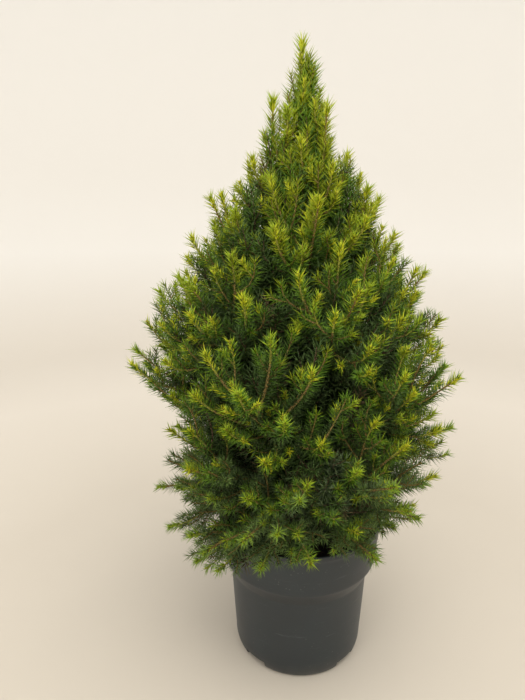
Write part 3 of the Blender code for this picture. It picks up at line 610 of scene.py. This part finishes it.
def side_shoots(path, sides, kind, bias=SIDE_BIAS):
    """Side shoots in two ranks along an axis, some out of rank."""
    start, end, lengths, spacing = sides
    length = sum((b - a).length for a, b in zip(path, path[1:]))
    count = max(1, round(length * (end - start) / spacing))
    for i in range(count):
        share = start + (end - start) * (i + 0.5 + rng.uniform(-0.25, 0.25)) / count
        root, heading = point_on(path, min(max(share, 0.02), 0.98))
        out = Vector((root.x, root.y, 0))
        out = out.normalized() if out.length > 0.004 else Vector((0, -1, 0))
        across = Vector((0, 0, 1)).cross(out)
        across = (across - heading * across.dot(heading)).normalized()
        other = heading.cross(across)
        sign = 1 if i % 2 else -1
        ranked = rng.random() < IN_RANK
        roll = radians(rng.uniform(-RANK_ROLL, RANK_ROLL) if ranked else rng.uniform(*ODD_ROLL))
        side = across * cos(roll) * sign + other * sin(roll)
        fork = radians(SIDE_FORK + rng.uniform(-SIDE_FORK_JITTER, SIDE_FORK_JITTER))
        first = heading * cos(fork) + side * sin(fork)
        size = lengths[0] + (lengths[1] - lengths[0]) * (1 - share) * rng.uniform(0.7, 1.1)
        size += rng.uniform(0, 0.003)
        then = (first * (1 - bias) + growth(root) * bias).normalized()
        knee = root + first * size * 0.5
        tip = keep_inside(knee + then * size * 0.5)
        fresh = rng.random() < freshness(tip.z, kind)
        add_shoot(curve(root, knee, tip, 5), kind, fresh, 0.0, SIDE_THICK)


def grow():
    limbs = plan_limbs()
    draws = random.Random(SEED + 1)
    wood = []  # (point, heading) along every limb and twig
    for limb in limbs:
        kind, sides = ("leader", LEADER_SIDES) if limb.name in LEADERS else ("limb", LIMB_SIDES)
        bare = 0.0 if limb.name == "leader" else (BOUGH_BARE if limb.bough else STEM_BARE)
        add_shoot(limb.path, kind, True, bare, limb_radius(limb))
        start = TRUNK_SIDES_START if limb.name == "leader" else max(sides.start, bare)
        side_shoots(limb.path, sides._replace(start=start), "side")
    for target in outline_targets(draws):
        draws.uniform(0, 2 * pi)  # the part's own rule turns each spray of needles by this draw
        if target.z > SPIRE_Z:
            continue
        knee = target - growth(target) * SPRAY_LENGTH
        root = best_root(knee, limbs)
        if root is None:
            continue
        tip = target - (target - knee).normalized() * NEEDLE_BEYOND
        path = curve(root, knee, tip, 8)
        add_shoot(path, "twig", rng.random() < freshness(tip.z, "twig"), TWIG_BARE, TWIG_THICK)
        side_shoots(path, TOP_SIDES if target.z > TOP_Z else TWIG_SIDES, "side")
        wood += [point_on(path, i / 6) for i in range(1, 6)]
    for limb in limbs:
        wood += [point_on(limb.path, i / 12) for i in range(2, 12)]
        if limb.name != "leader":
            side_shoots(limb.path, HIDDEN_SIDES, "inner", HIDDEN_BIAS)
    low, high = TRUNK_WOOD
    for i in range(TRUNK_ROOTS):
        z = low + (high - low) * (i + 0.5) / TRUNK_ROOTS
        wood.append((trunk_point(z), Vector((0, 0, 1))))
    fine = outline_targets(draws, *FINE_TWIGS) + [Vector(place) for place in HANGING]
    inner = outline_targets(draws, *INNER_TWIGS) + outline_targets(draws, *DEEP_TWIGS)
    grow_fine(fine, wood, FINE_REACH, FINE_SPRAY, "fine", FINE_SIDES)
    grow_fine(inner, wood, INNER_REACH, SPRAY_LENGTH, "inner", INNER_SIDES)
    return limbs


def grow_fine(targets, wood, reach, blade, kind, sides):
    """Twigs from the limbs and twigs to the points between them."""
    places = np.array([tuple(point) for point, _ in wood])
    headings = np.array([tuple(heading) for _, heading in wood])
    for target in targets:
        knee = target - growth(target) * blade
        steps = np.array(tuple(knee)) - places
        sizes = np.linalg.norm(steps, axis=1)
        cosines = (steps * headings).sum(1) / np.maximum(sizes, 1e-9)
        forks = np.degrees(np.arccos(np.clip(cosines, -1, 1)))
        cost = sizes / STEP_COST + np.abs(forks - FORK) / FORK_COST
        cost[(sizes < reach[0]) | (sizes > reach[1])] = inf
        best = int(cost.argmin())
        if cost[best] == inf:
            continue
        tip = keep_inside(target - (target - knee).normalized() * NEEDLE_BEYOND)
        path = curve(wood[best][0], knee, tip, 6)
        add_shoot(path, kind, rng.random() < freshness(tip.z, kind), FINE_BARE, FINE_THICK)
        if target.z < TOP_Z:
            side_shoots(path, sides, kind)


# --- Needles ---

# Each needle's colour and roughness
NEEDLE_LOOKS = {
    "tip_gold": ((198, 202, 36), 0.46),
    "tip_lime": ((152, 176, 32), 0.46),
    "tip_fern": ((126, 156, 52), 0.46),
    "sun_a": ((150, 164, 20), 0.48),
    "sun_b": ((132, 150, 20), 0.48),
    "young_a": ((100, 136, 26), 0.48),
    "young_b": ((82, 120, 30), 0.48),
    "fern": ((96, 122, 60), 0.50),
    "moss_a": ((88, 108, 68), 0.54),
    "moss_b": ((74, 90, 60), 0.56),
    "mid_a": ((76, 103, 40), 0.52),
    "mid_b": ((66, 91, 42), 0.52),
    "deep_a": ((66, 86, 43), 0.54),
    "deep_b": ((58, 77, 43), 0.56),
    "dry": ((92, 82, 54), 0.70),
}
LEVELS = ("deep_b", "deep_a", "mid_b", "mid_a", "young_b", "young_a", "sun_b", "sun_a")
AGE_LEVELS = (5.0, 4.2, 2.6, 1.4, 0.5)  # from a shoot's tip down to its old needles
LEVEL_SPREAD = (0.7, 0.45)  # between shoots, and between the needles of one
HIDDEN_LEVELS = (0.2, 0.8, 1.4)
# painted shade: how many levels darker the leader's needles are dealt
LEADER_PAINTED_SHADE = 1.6
# By the height of a shoot's tip: how many levels lighter it is, and the shares of dry and gold-tipped ones
LIGHTER = ((0.20, 1.1), (0.34, 0.5), (0.44, 1.1), (0.50, 2.4), (0.57, 3.8), (0.64, 4.6))
DRY_SHARE = ((0.18, 0.28), (0.30, 0.03))
WARM_SHARE = ((0.20, 0.15), (0.30, 0.60), (0.5, 0.85))
GREYISH_BELOW = (0.17, 0.31)  # the hem's shoots are greyer, up to a height in this range
FERN_TIPS = 0.8  # shares of the bright needles in each colour
LIME_TIPS = 0.45
GOLD_TIPS = 0.10

needle_parts = {}  # for each look, a list of (n x 5 x 3) arrays of points


def stretches(path):
    return np.linalg.norm(np.diff(path, axis=0), axis=1)


def sample(path, places):
    """Points and headings at lengths along a path."""
    at = np.concatenate(([0], np.cumsum(stretches(path))))
    points = np.stack([np.interp(places, at, row) for row in path.T], axis=1)
    middles, headings = (at[1:] + at[:-1]) / 2, unit(np.diff(path, axis=0))
    tangents = np.stack([np.interp(places, middles, row) for row in headings.T], axis=1)
    return points, unit(tangents)


def crossways(headings, steepness):
    """Two directions across each heading."""
    helper = np.where(np.abs(steepness) < 0.9, [[0, 0, 1.0]], [[1.0, 0, 0]])
    u = unit(np.cross(headings, helper))
    return u, np.cross(u, headings)


def crown_depth(points):
    """How deep inside the crown's outline points are."""
    heights, *sides = np.array(OUTLINE).T
    left, right = (np.interp(points[:, 2], heights, side) for side in sides)
    radius = np.hypot(points[:, 0], points[:, 1])
    cosine = points[:, 0] / np.maximum(radius, 1e-9)
    return left + (right - left) * (0.5 + 0.5 * cosine) - radius


def clear_of_pot(tips):
    radius = np.hypot(tips[:, 0], tips[:, 1])
    on_rim = (radius < RIM_R + RIM_BAND[1]) & (radius > RIM_R - RIM_BAND[0])
    on_rim &= tips[:, 2] < POT_HEIGHT + NEEDLE_CLEAR
    in_soil = (radius < RIM_R) & (tips[:, 2] < SOIL_TOP + NEEDLE_CLEAR)
    return ~(on_rim | in_soil)


def needle_names(shoot, to_tip, bright, short, depth):
    """The look of each needle by its age, depth in the crown and shoot's height, with painted shade on the
    leader.
    """
    kind, top, count = shoot.kind, shoot.path[-1, 2], len(to_tip)
    age = to_tip + np.maximum(depth - 0.035, 0) * 0.8
    lift = value_at(LIGHTER, top)
    # painted shade: the leader's needles are dealt darker colours
    if kind == "leader":
        lift -= LEADER_PAINTED_SHADE
    young = bright + (0.006 if shoot.fresh else 0.004)
    level = np.interp(age, (0.0, young, young + 0.014, 0.055, 0.100), AGE_LEVELS)
    level += lift + rng.uniform(-LEVEL_SPREAD[0], LEVEL_SPREAD[0]) + rng.normal(0, LEVEL_SPREAD[1], count)
    dry = False
    if kind == "inner":
        level = lift + rng.choice(HIDDEN_LEVELS) + rng.normal(0, 0.4, count)
        dry = rng.random() < value_at(DRY_SHARE, top)
    level = np.clip(np.round(level), 0, len(LEVELS) - 1).astype(int)
    names = np.array(LEVELS, dtype=object)[level]
    warm = rng.random() < value_at(WARM_SHARE, top)
    chance = np.where(to_tip < bright, rng.random(count), 1.0)
    if top < rng.uniform(*GREYISH_BELOW):
        names = np.where(level > 3, "fern", np.where(level > 1, "moss_a", "moss_b")).astype(object)
        names[chance < FERN_TIPS] = "tip_fern"
        names[short] = "tip_lime"
    else:
        names[chance < LIME_TIPS] = "tip_lime"
        if warm:
            names[chance < GOLD_TIPS] = "tip_gold"
        names[short] = "tip_gold" if warm else "tip_lime"
    if dry:
        names[:] = "dry"
    return names


def leaning(tangents, out, lean):
    """Directions that lean out from their axis, and a little towards the light."""
    return unit(tangents * np.cos(lean)[:, None] + out * np.sin(lean)[:, None] + (0, 0, LIGHTWARD))


def grow_needles(shoot):
    """Needles round a shoot on a golden spiral, each with a ring of three points at its bend."""
    path, kind = shoot.path, shoot.kind
    look = LOOKS[kind]
    length = stretches(path).sum()
    start = shoot.bare * length
    along = int((length - start) * look.density)
    crowd = look.crowd if shoot.fresh else 0
    count = along + crowd
    if along < 3:
        return
    order = np.arange(count)
    places = start + (length - start) * (order + 0.5 + rng.uniform(-0.4, 0.4, count)) / along
    places[along:] = length - CROWD_REACH * (order[along:] - along + rng.random(crowd)) / max(crowd, 1)
    roots, tangents = sample(path, places)
    to_tip = length - places
    u, v = crossways(tangents, tangents[:, 2:])
    phi = shoot.turn + order * radians(GOLDEN_ANGLE) + rng.uniform(-0.35, 0.35, count)
    out = u * np.cos(phi)[:, None] + v * np.sin(phi)[:, None]
    bright = rng.uniform(*look.bright) if shoot.fresh else 0.0
    below = np.where(to_tip < bright + SHORT_BELOW, SHORT_SHARES[1], 0.0)
    share = np.where(to_tip < bright, SHORT_SHARES[0], below)
    short = rng.random(count) < (share if shoot.fresh else 0.0)
    tipness = np.exp(-((to_tip / CROWD_REACH) ** 2))
    lean = LEADER_LEAN if kind == "leader" else LEAN
    lean = lean[0] - lean[1] * tipness + rng.uniform(-LEAN_JITTER, LEAN_JITTER, count)
    lean = np.radians(np.where(short, lean * SHORT_LEAN, lean))
    turn = np.radians(ARCH * tipness - HOOK)
    heading, bend = leaning(tangents, out, lean), leaning(tangents, out, lean + turn)
    shorter = LAST_SHORTER * np.exp(-to_tip / LAST_REACH)
    size = look.length * (1 - shorter) * rng.uniform(*NEEDLE_SIZES, count)
    size *= np.where(short, SHORT_SIZE, 1.0)
    first, last = NEEDLE_PARTS
    middles = roots + heading * (size * first)[:, None]
    tips = roots + (heading * first + bend * last) * size[:, None]
    e1 = unit(np.cross(heading, tangents + 1e-6))
    e2 = np.cross(heading, e1)
    thick = look.half * rng.uniform(*NEEDLE_WIDTHS, count)[:, None]
    thick *= 1 - BRIGHT_THINNER * (to_tip < bright)[:, None]
    depth = crown_depth(roots)
    if kind == "inner":
        thick *= 1 + np.clip((depth - THICKER_FROM) / THICKER_OVER, 0, 1)[:, None]
    angles = [2 * pi * k / 3 + pi / 2 for k in range(3)]
    ring = [middles + (e1 * cos(angle) + e2 * sin(angle)) * thick for angle in angles]
    points = np.stack([roots, *ring, tips], axis=1)
    names = needle_names(shoot, to_tip, bright, short, depth)
    clear = clear_of_pot(tips)
    points, names = points[clear], names[clear]
    for name in set(names):
        needle_parts.setdefault(name, []).append(points[names == name])


MAX_TRIANGLES = 190_000
SPIKE_BASE = 0.7  # how far down to its root a plain needle's ring of points moves
BENT_FACES = np.array([(0, 2, 1), (0, 3, 2), (0, 1, 3), (1, 2, 4), (2, 3, 4), (3, 1, 4)])
PLAIN_FACES = np.array([(0, 2, 1), (0, 1, 3), (1, 2, 3), (2, 0, 3)])


def make_needles():
    made = []
    for name, parts in sorted(needle_parts.items()):
        points, needle_faces = np.concatenate(parts), BENT_FACES
        if not name.startswith("tip"):  # an old needle is a plain spike
            middle = points[:, 1:4].mean(axis=1, keepdims=True)
            ring = points[:, 1:4] + (points[:, :1] - middle) * SPIKE_BASE
            points, needle_faces = np.concatenate([ring, points[:, 4:]], axis=1), PLAIN_FACES
        corners = points.shape[1]
        material = needle_material("needle_" + name, *NEEDLE_LOOKS[name])
        most = MAX_TRIANGLES // len(needle_faces)
        chunks = ceil(len(points) / most)
        for number in range(chunks):
            part = points[number * len(points) // chunks : (number + 1) * len(points) // chunks]
            faces = (np.arange(len(part)) * corners)[:, None, None] + needle_faces
            title = f"needles_{name}" + (f"_{number + 1}" if chunks > 1 else "")
            obj = mesh_object(title, part.reshape(-1, 3), faces.reshape(-1, 3), material)
            made.append((obj, "foliage"))
    return made


# --- Wood ---


def tube_faces(rings, sides):
    """Triangles between a tube's rings of points, and to the point that closes its tip."""
    faces = []
    for k in range((rings - 1) * sides):
        after = k + 1 if (k + 1) % sides else k + 1 - sides
        faces += [(k, after, k + sides), (after, after + sides, k + sides)]
    top = (rings - 1) * sides
    faces += [(top + k, top + (k + 1) % sides, rings * sides) for k in range(sides)]
    return np.array(faces)


def tube(path, radii, sides):
    """Points and triangles of a tube along a path, open at its root and closed at its tip."""
    tangents = unit(np.gradient(path, axis=0))
    u, v = crossways(tangents, tangents[:1, 2:])
    angles = 2 * np.pi * np.arange(sides) / sides
    circle = u[:, None, :] * np.cos(angles)[None, :, None] + v[:, None, :] * np.sin(angles)[None, :, None]
    rings = path[:, None, :] + circle * np.asarray(radii)[:, None, None]
    points = np.concatenate([rings.reshape(-1, 3), path[-1:] + tangents[-1:] * radii[-1]])
    return points, tube_faces(len(path), sides)


def join(parts):
    """One array of points and one of faces from many."""
    points, faces, count = [], [], 0
    for some, more in parts:
        points.append(some)
        faces.append(more + count)
        count += len(some)
    return np.concatenate(points), np.concatenate(faces)


def resampled(path, count):
    return sample(path, np.linspace(0, stretches(path).sum(), count))[0]


STEM_DETAIL = {"twig": (8, 5), "fine": (5, 4), "side": (4, 3), "inner": (4, 3)}  # rings and sides
STEM_TAPER = (1.25, 0.6)
GOLDEN_LENGTH = 0.020


def make_twigs():
    """The shoots' own stems: golden where new, tan below that, and brown inside the crown."""
    parts = {"golden": [], "tan": [], "brown": []}
    for shoot in shoots:
        if shoot.kind not in STEM_DETAIL:
            continue
        length = stretches(shoot.path).sum()
        count, sides = STEM_DETAIL[shoot.kind]
        rows = resampled(shoot.path, count)
        radii = shoot.thick * np.linspace(*STEM_TAPER, count)
        if shoot.kind == "inner" or not shoot.fresh:
            parts["brown" if shoot.kind == "inner" else "tan"].append(tube(rows, radii, sides))
            continue
        split = max(1, round((count - 1) * (1 - GOLDEN_LENGTH / length)))
        parts["tan"].append(tube(rows[: split + 1], radii[: split + 1], sides))
        parts["golden"].append(tube(rows[split:], radii[split:], sides))
    looks = {
        "golden": ((138, 140, 58), (162, 162, 70), (184, 182, 96), 900.0, 0.0002),
        "tan": ((112, 94, 52), (144, 124, 72), (174, 154, 100), 800.0, 0.0003),
        "brown": ((70, 58, 42), (96, 80, 60), (122, 104, 80), 700.0, 0.0003),
    }
    made = []
    for name, some in parts.items():
        look = bark_material(f"shoot_{name}", *looks[name])
        made.append((mesh_object(f"twigs_{name}", *join(some), look), "bark"))
    return made


BUD_LENGTH = (0.0028, 0.0040)
BUD_R = 0.0010


def make_buds():
    """A small scaly bud at the end of each new shoot."""
    parts = []
    for shoot in shoots:
        if not shoot.fresh or shoot.kind == "inner":
            continue
        before, tip = shoot.path[-2:]
        places = np.array([-0.3, 0.2, 0.9]) * rng.uniform(*BUD_LENGTH)
        rows = tip + unit(tip - before) * places[:, None]
        parts.append(tube(rows, np.array([0.6, 1.0, 0.35]) * BUD_R, 4))
    look = bark_material("bud_scales", (140, 130, 56), (164, 152, 66), (186, 172, 84), 1200.0, 0.0003)
    return [(mesh_object("buds", *join(parts), look), "bark")]


TRUNK_RELIEF = 0.045  # how far bark stands in or out, as a share of the radius
LIMB_RELIEF = 0.09


def relief(point, scale, stretch):
    """How far bark stands in or out at a point, from -1 to 1."""
    place = Vector((point[0], point[1], point[2] * stretch)) * scale
    return min(max(noise.multi_fractal(place, 0.9, 2.1, 4) - 1.0, -1), 1)


def make_trunk():
    """The trunk with the low relief of its bark, and shallow flutes round its foot."""
    sides, count = 44, 190
    base = SOIL_TOP - 0.004
    heights = base + (TRUNK_TOP - base) * np.linspace(0, 1, count) ** 1.1
    points = []
    for z in heights:
        middle, radius = trunk_point(z), trunk_radius(z)
        for k in range(sides):
            angle = 2 * pi * k / sides
            x, y = cos(angle), sin(angle)
            flute = 0.05 * sin(5 * angle + 1.0) * max(0.0, 1 - (z - SOIL_TOP) / 0.03)
            lift = relief((middle.x + x * radius, middle.y + y * radius, z), 260.0, 0.35) * TRUNK_RELIEF
            size = radius * (1 + lift + flute)
            points.append((middle.x + x * size, middle.y + y * size, z))
    top = trunk_point(TRUNK_TOP)
    points.append((top.x, top.y, TRUNK_TOP + TRUNK_TIP_R * 0.6))
    look = bark_material("trunk_bark", (62, 46, 34), (98, 74, 54), (134, 108, 82), 260.0, 0.0008)
    return mesh_object("trunk_bark", points, tube_faces(count, sides), look)


def make_limbs(limbs):
    """Boughs from the trunk to where they enter their masses, and their stems on from there."""
    boughs, stems = [], []
    for limb in limbs:
        count, sides = (24, 8) if limb.name == "leader" else (30, 10)
        rows = resampled(np.array([tuple(p) for p in limb.path]), count)
        thick = limb_radius(limb)
        share = np.linspace(0, 1, count)
        beyond = np.maximum(share - BOUGH_END, 0) / (1 - BOUGH_END)
        radii = thick * (1 - 0.34 * np.minimum(share / BOUGH_END, 1)) * (1 - 0.58 * beyond)
        radii = np.maximum(radii, 0.0014 - 0.0006 * share)
        radii[:3] *= np.array([1.35, 1.15, 1.05]) if limb.bough else 1.0
        points, faces = tube(rows, radii, sides)
        for i in range(count * sides):
            middle = rows[i // sides]
            lift = relief(points[i], 420.0, 1.0) * LIMB_RELIEF
            points[i] = middle + (points[i] - middle) * (1 + lift)
        if not limb.bough:
            stems.append((points, faces))
            continue
        split = round(BOUGH_END * (count - 1))
        edge = faces.max(axis=1) // sides
        boughs.append((points[: (split + 1) * sides], faces[edge <= split]))
        stems.append((points[split * sides :], faces[edge > split] - split * sides))
    old = bark_material("bough_bark", (74, 56, 40), (112, 86, 60), (146, 118, 86), 520.0, 0.0005)
    new = bark_material("stem_bark", (108, 88, 48), (142, 119, 69), (172, 150, 98), 620.0, 0.0004)
    return mesh_object("bough_bark", *join(boughs), old), mesh_object("stem_bark", *join(stems), new)


# --- Pot and soil ---


def lathe(profile, segments):
    """Points and quads of a surface turned about Z from (radius, height) points."""
    angles = 2 * np.pi * np.arange(segments) / segments
    profile = np.array(profile)
    radii, heights = profile[:, None, 0], np.repeat(profile[:, 1:2], segments, axis=1)
    points = np.stack([radii * np.cos(angles), radii * np.sin(angles), heights], axis=2).reshape(-1, 3)
    low = np.arange(segments)
    after = (low + 1) % segments
    band = np.stack([low, after, after + segments, low + segments], axis=1)
    return points, np.concatenate([band + ring * segments for ring in range(len(profile) - 1)])


FOOT_EDGE = 0.004  # how far inside the base's edge the foot's curve starts
# Points round each edge of the side, as (radius, height) from it
SHOULDER_EDGE = ((-0.0004, -0.0035), (0, -0.0008), (0.0007, 0.0012))
COLLAR_EDGE = ((-0.0009, -0.0016), (-0.0002, -0.0004), (0.0003, 0.0012), (0.0004, 0.0034))
RIM_EDGE = ((-0.0002, -0.0054), (0, -0.0040), (0, -0.0014), (-0.0004, -0.0004), (-0.0010, 0))
RIM_INNER_EDGE = ((-0.0020, 0), (-0.0027, -0.0007))


def side_profile():
    """The pot's side from its underside up to its rim and down inside, with its edges rounded."""
    rows = [(0.0004, 0.0), (BASE_R - FOOT_EDGE, 0.0)]
    for i in range(9):
        angle = pi / 2 * i / 8
        radius = BASE_R - FOOT_EDGE + (FOOT_R + FOOT_EDGE - BASE_R) * sin(angle)
        rows.append((radius, FOOT_ROUND * (1 - cos(angle)) ** 1.3))
    rows.append(((FOOT_R + SHOULDER_R) / 2, (FOOT_ROUND + SHOULDER_Z) / 2))
    rows += [(SHOULDER_R + r, SHOULDER_Z + z) for r, z in SHOULDER_EDGE]
    rows += [(COLLAR_R + r, COLLAR_Z + z) for r, z in COLLAR_EDGE]
    slope = (RIM_R - COLLAR_R) / (POT_HEIGHT - COLLAR_Z)
    for z in (COLLAR_Z + 0.020, POT_HEIGHT - 0.0095, POT_HEIGHT - 0.0062):
        rows.append((COLLAR_R + slope * (z - COLLAR_Z), z))
    rows += [(RIM_R + r, POT_HEIGHT + z) for r, z in RIM_EDGE + RIM_INNER_EDGE]
    rows += [(COLLAR_R - WALL + slope * 0.03, COLLAR_Z + 0.03), (COLLAR_R - WALL, COLLAR_Z + 0.001)]
    return rows + [(SHOULDER_R - WALL, SHOULDER_Z), (SHOULDER_R - WALL - 0.0004, SHOULDER_Z - 0.01)]


def close_outwards(mesh):
    """Closes a mesh's opening, if it has one, and turns its faces outwards."""
    shape = bmesh.new()
    shape.from_mesh(mesh)
    bmesh.ops.holes_fill(shape, edges=[edge for edge in shape.edges if edge.is_boundary])
    bmesh.ops.recalc_face_normals(shape, faces=shape.faces)
    shape.to_mesh(mesh)
    shape.free()


POT_SEGMENTS = 180
POT_STEP = 0.0022  # between rings round the foot
FOOT_TOP = 0.024
NOTCH_ROUND = 0.0007
NOTCH_SLOPE = 0.1 * NOTCH_HEIGHT
SHARP_ANGLE = 38


def notch_cutter(number):
    """A closed block through the pot's foot, with a rounded top and sloping sides."""
    angle = radians(45 + 360 / NOTCHES * number)
    out = Vector((cos(angle), sin(angle), 0))
    along = Vector((-sin(angle), cos(angle), 0))
    half = NOTCH_WIDTH / 2
    outline = [(-half - NOTCH_SLOPE, -0.02), (half + NOTCH_SLOPE, -0.02)]
    for side, first in ((1, 0.0), (-1, pi / 2)):
        for i in range(6):
            turn = first + pi / 2 * i / 5
            width = side * (half - NOTCH_ROUND) + NOTCH_ROUND * cos(turn)
            outline.append((width, NOTCH_HEIGHT - NOTCH_ROUND + NOTCH_ROUND * sin(turn)))
    corners = []
    for r in (NOTCH_INNER_R, RIM_R + 0.01):
        corners += [tuple(out * r + along * w + Vector((0, 0, z))) for w, z in outline]
    n = len(outline)
    sides = [(i, (i + 1) % n, (i + 1) % n + n, i + n) for i in range(n)]
    mesh = bpy.data.meshes.new("notch")
    mesh.from_pydata(corners, [], [tuple(range(n))[::-1], tuple(range(n, 2 * n))] + sides)
    close_outwards(mesh)
    return linked("notch", mesh)


def make_pot():
    """A turned shell with its drainage notches cut through the foot."""
    profile = side_profile()
    rows = []
    for (r0, z0), (r1, z1) in zip(profile, profile[1:]):
        steps = 1
        if z1 < FOOT_TOP and r1 > 0.05:
            steps = max(1, ceil(hypot(r1 - r0, z1 - z0) / POT_STEP))
        rows += [(r0 + (r1 - r0) * i / steps, z0 + (z1 - z0) * i / steps) for i in range(steps)]
    points, faces = lathe(rows + profile[-1:], POT_SEGMENTS)
    mesh = bpy.data.meshes.new("pot_moulding")
    mesh.from_pydata(points.tolist(), [], faces.tolist() + [list(range(POT_SEGMENTS))[::-1]])
    mesh.materials.append(plastic_material())
    obj = linked("pot_moulding", mesh)
    close_outwards(mesh)
    cutters = [notch_cutter(number) for number in range(NOTCHES)]
    for cutter in cutters:
        modifier = obj.modifiers.new("notch", "BOOLEAN")
        modifier.operation = "DIFFERENCE"
        modifier.solver = "EXACT"
        modifier.object = cutter
    bpy.context.view_layer.update()
    made = bpy.data.meshes.new_from_object(obj.evaluated_get(bpy.context.evaluated_depsgraph_get()))
    obj.modifiers.clear()
    obj.data = made
    for cutter in cutters:
        bpy.data.objects.remove(cutter, do_unlink=True)
    made.shade_smooth()
    made.set_sharp_from_angle(angle=radians(SHARP_ANGLE))
    return obj


SOIL_DISH = 0.0025  # how much lower the soil is at the wall
CRUMBS = 420
CRUMB_R = (0.0008, 0.0026)


def make_soil():
    """The soil's uneven surface, lower at the wall, with loose crumbs on it."""
    outer = RIM_R - WALL - GAP - (RIM_R - COLLAR_R) * (POT_HEIGHT - SOIL_TOP) / (POT_HEIGHT - COLLAR_Z)
    rings, segments = 46, 150
    radii = [0.002 + (outer - 0.002) * i / rings for i in range(rings, -1, -1)]
    profile = [(outer, SOIL_TOP - 0.02)] + [(radius, SOIL_TOP - 0.0010) for radius in radii]
    points, faces = lathe(profile, segments)
    for number, point in enumerate(points[segments:]):
        x, y = point[:2]
        point[2] += noise.fractal(Vector((x, y, 0)) * 90, 0.8, 2.0, 5) * 0.0022
        point[2] -= SOIL_DISH * (hypot(x, y) / outer) ** 4
        point[2] -= 0.0012 if number < segments else 0.0
    triangles = np.concatenate([faces[:, (0, 1, 3)], faces[:, (1, 2, 3)]])
    parts = [(points, triangles)]
    ball = bmesh.new()
    bmesh.ops.create_icosphere(ball, subdivisions=1, radius=1.0)
    shape = np.array([tuple(v.co) for v in ball.verts])
    ball.verts.index_update()
    ball_faces = np.array([[v.index for v in f.verts] for f in ball.faces])
    ball.free()
    for _ in range(CRUMBS):
        radius, angle = outer * 0.97 * sqrt(rng.random()), rng.uniform(0, 2 * pi)
        if radius < TRUNK_R + FLARE_R:
            continue
        z = SOIL_TOP - 0.0012 - SOIL_DISH * (radius / outer) ** 4
        place = np.array([radius * cos(angle), radius * sin(angle), z])
        size = rng.uniform(*CRUMB_R)
        stretch = rng.uniform(0.6, 1.3, 3)
        lumps = rng.uniform(0.8, 1.15, (len(shape), 1))
        parts.append((place + shape * size * stretch * lumps, ball_faces))
    return mesh_object("soil_surface", *join(parts), soil_material())


# --- Stage ---


def make_floor():
    """A round sheet of pale paper that curves up all round, far from the plant."""
    flat, bend, top = 1.5, 0.7, 2.4
    rows = [(0.001, 0.0), (0.6, 0.0)]
    for i in range(13):
        angle = pi / 2 * i / 12
        rows.append((flat + bend * sin(angle), bend * (1 - cos(angle))))
    rows.append((flat + bend, top))
    points, faces = lathe(rows, 96)
    return mesh_object("floor", points, faces, floor_material())


LIGHT_TARGET = Vector((0, 0, 0.3))
SKY_COLOUR = (1.0, 0.967, 0.905, 1.0)
SKY_STRENGTH = 0.97
CAMERA_PLACE = (-0.0427, -0.549, 0.490)
CAMERA_TILT = 0.241  # down from level, in radians
CAMERA_LENS = 27.0


def area_light(name, place, size, power, colour):
    data = bpy.data.lights.new(name, "AREA")
    data.size = size
    data.energy = power
    data.color = colour
    obj = linked(name, data)
    obj.location = place
    obj.rotation_euler = (LIGHT_TARGET - Vector(place)).to_track_quat("-Z", "Y").to_euler()


def make_stage():
    make_floor()
    world = bpy.data.worlds.new("studio")
    bpy.context.scene.world = world
    world.use_nodes = True
    feed(world.node_tree.nodes["Background"], {"Color": SKY_COLOUR, "Strength": SKY_STRENGTH})
    area_light("overhead", place=(0.25, -0.55, 1.75), size=1.3, power=17, colour=(1.0, 0.95, 0.87))
    area_light("front", place=(-0.9, -1.25, 0.9), size=0.9, power=5, colour=(1.0, 0.96, 0.90))
    camera = bpy.data.cameras.new("camera")
    camera.lens = CAMERA_LENS
    view = linked("camera", camera)
    view.location = CAMERA_PLACE
    view.rotation_euler = (pi / 2 - CAMERA_TILT, 0, 0)
    bpy.context.scene.camera = view
    bpy.context.scene.view_settings.view_transform = "Standard"


# --- Putting it together ---


def main():
    limbs = grow()
    for shoot in shoots:
        grow_needles(shoot)
    crown = make_needles() + make_twigs() + make_buds()
    trunk = make_trunk()
    boughs, stems = make_limbs(limbs)
    crown.append((stems, "bark"))
    pieces = [(piece, MASSES, slot) for piece, slot in crown]
    pieces += [(trunk, ["trunk"], "bark"), (boughs, BOUGHS, "bark")]
    pieces += [(make_pot(), ["pot"], "pot_plastic"), (make_soil(), ["potting_soil"], "potting_soil")]
    for piece, nodes, slot in pieces:
        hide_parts(*nodes)
        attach(piece, "root")
    make_stage()


main()
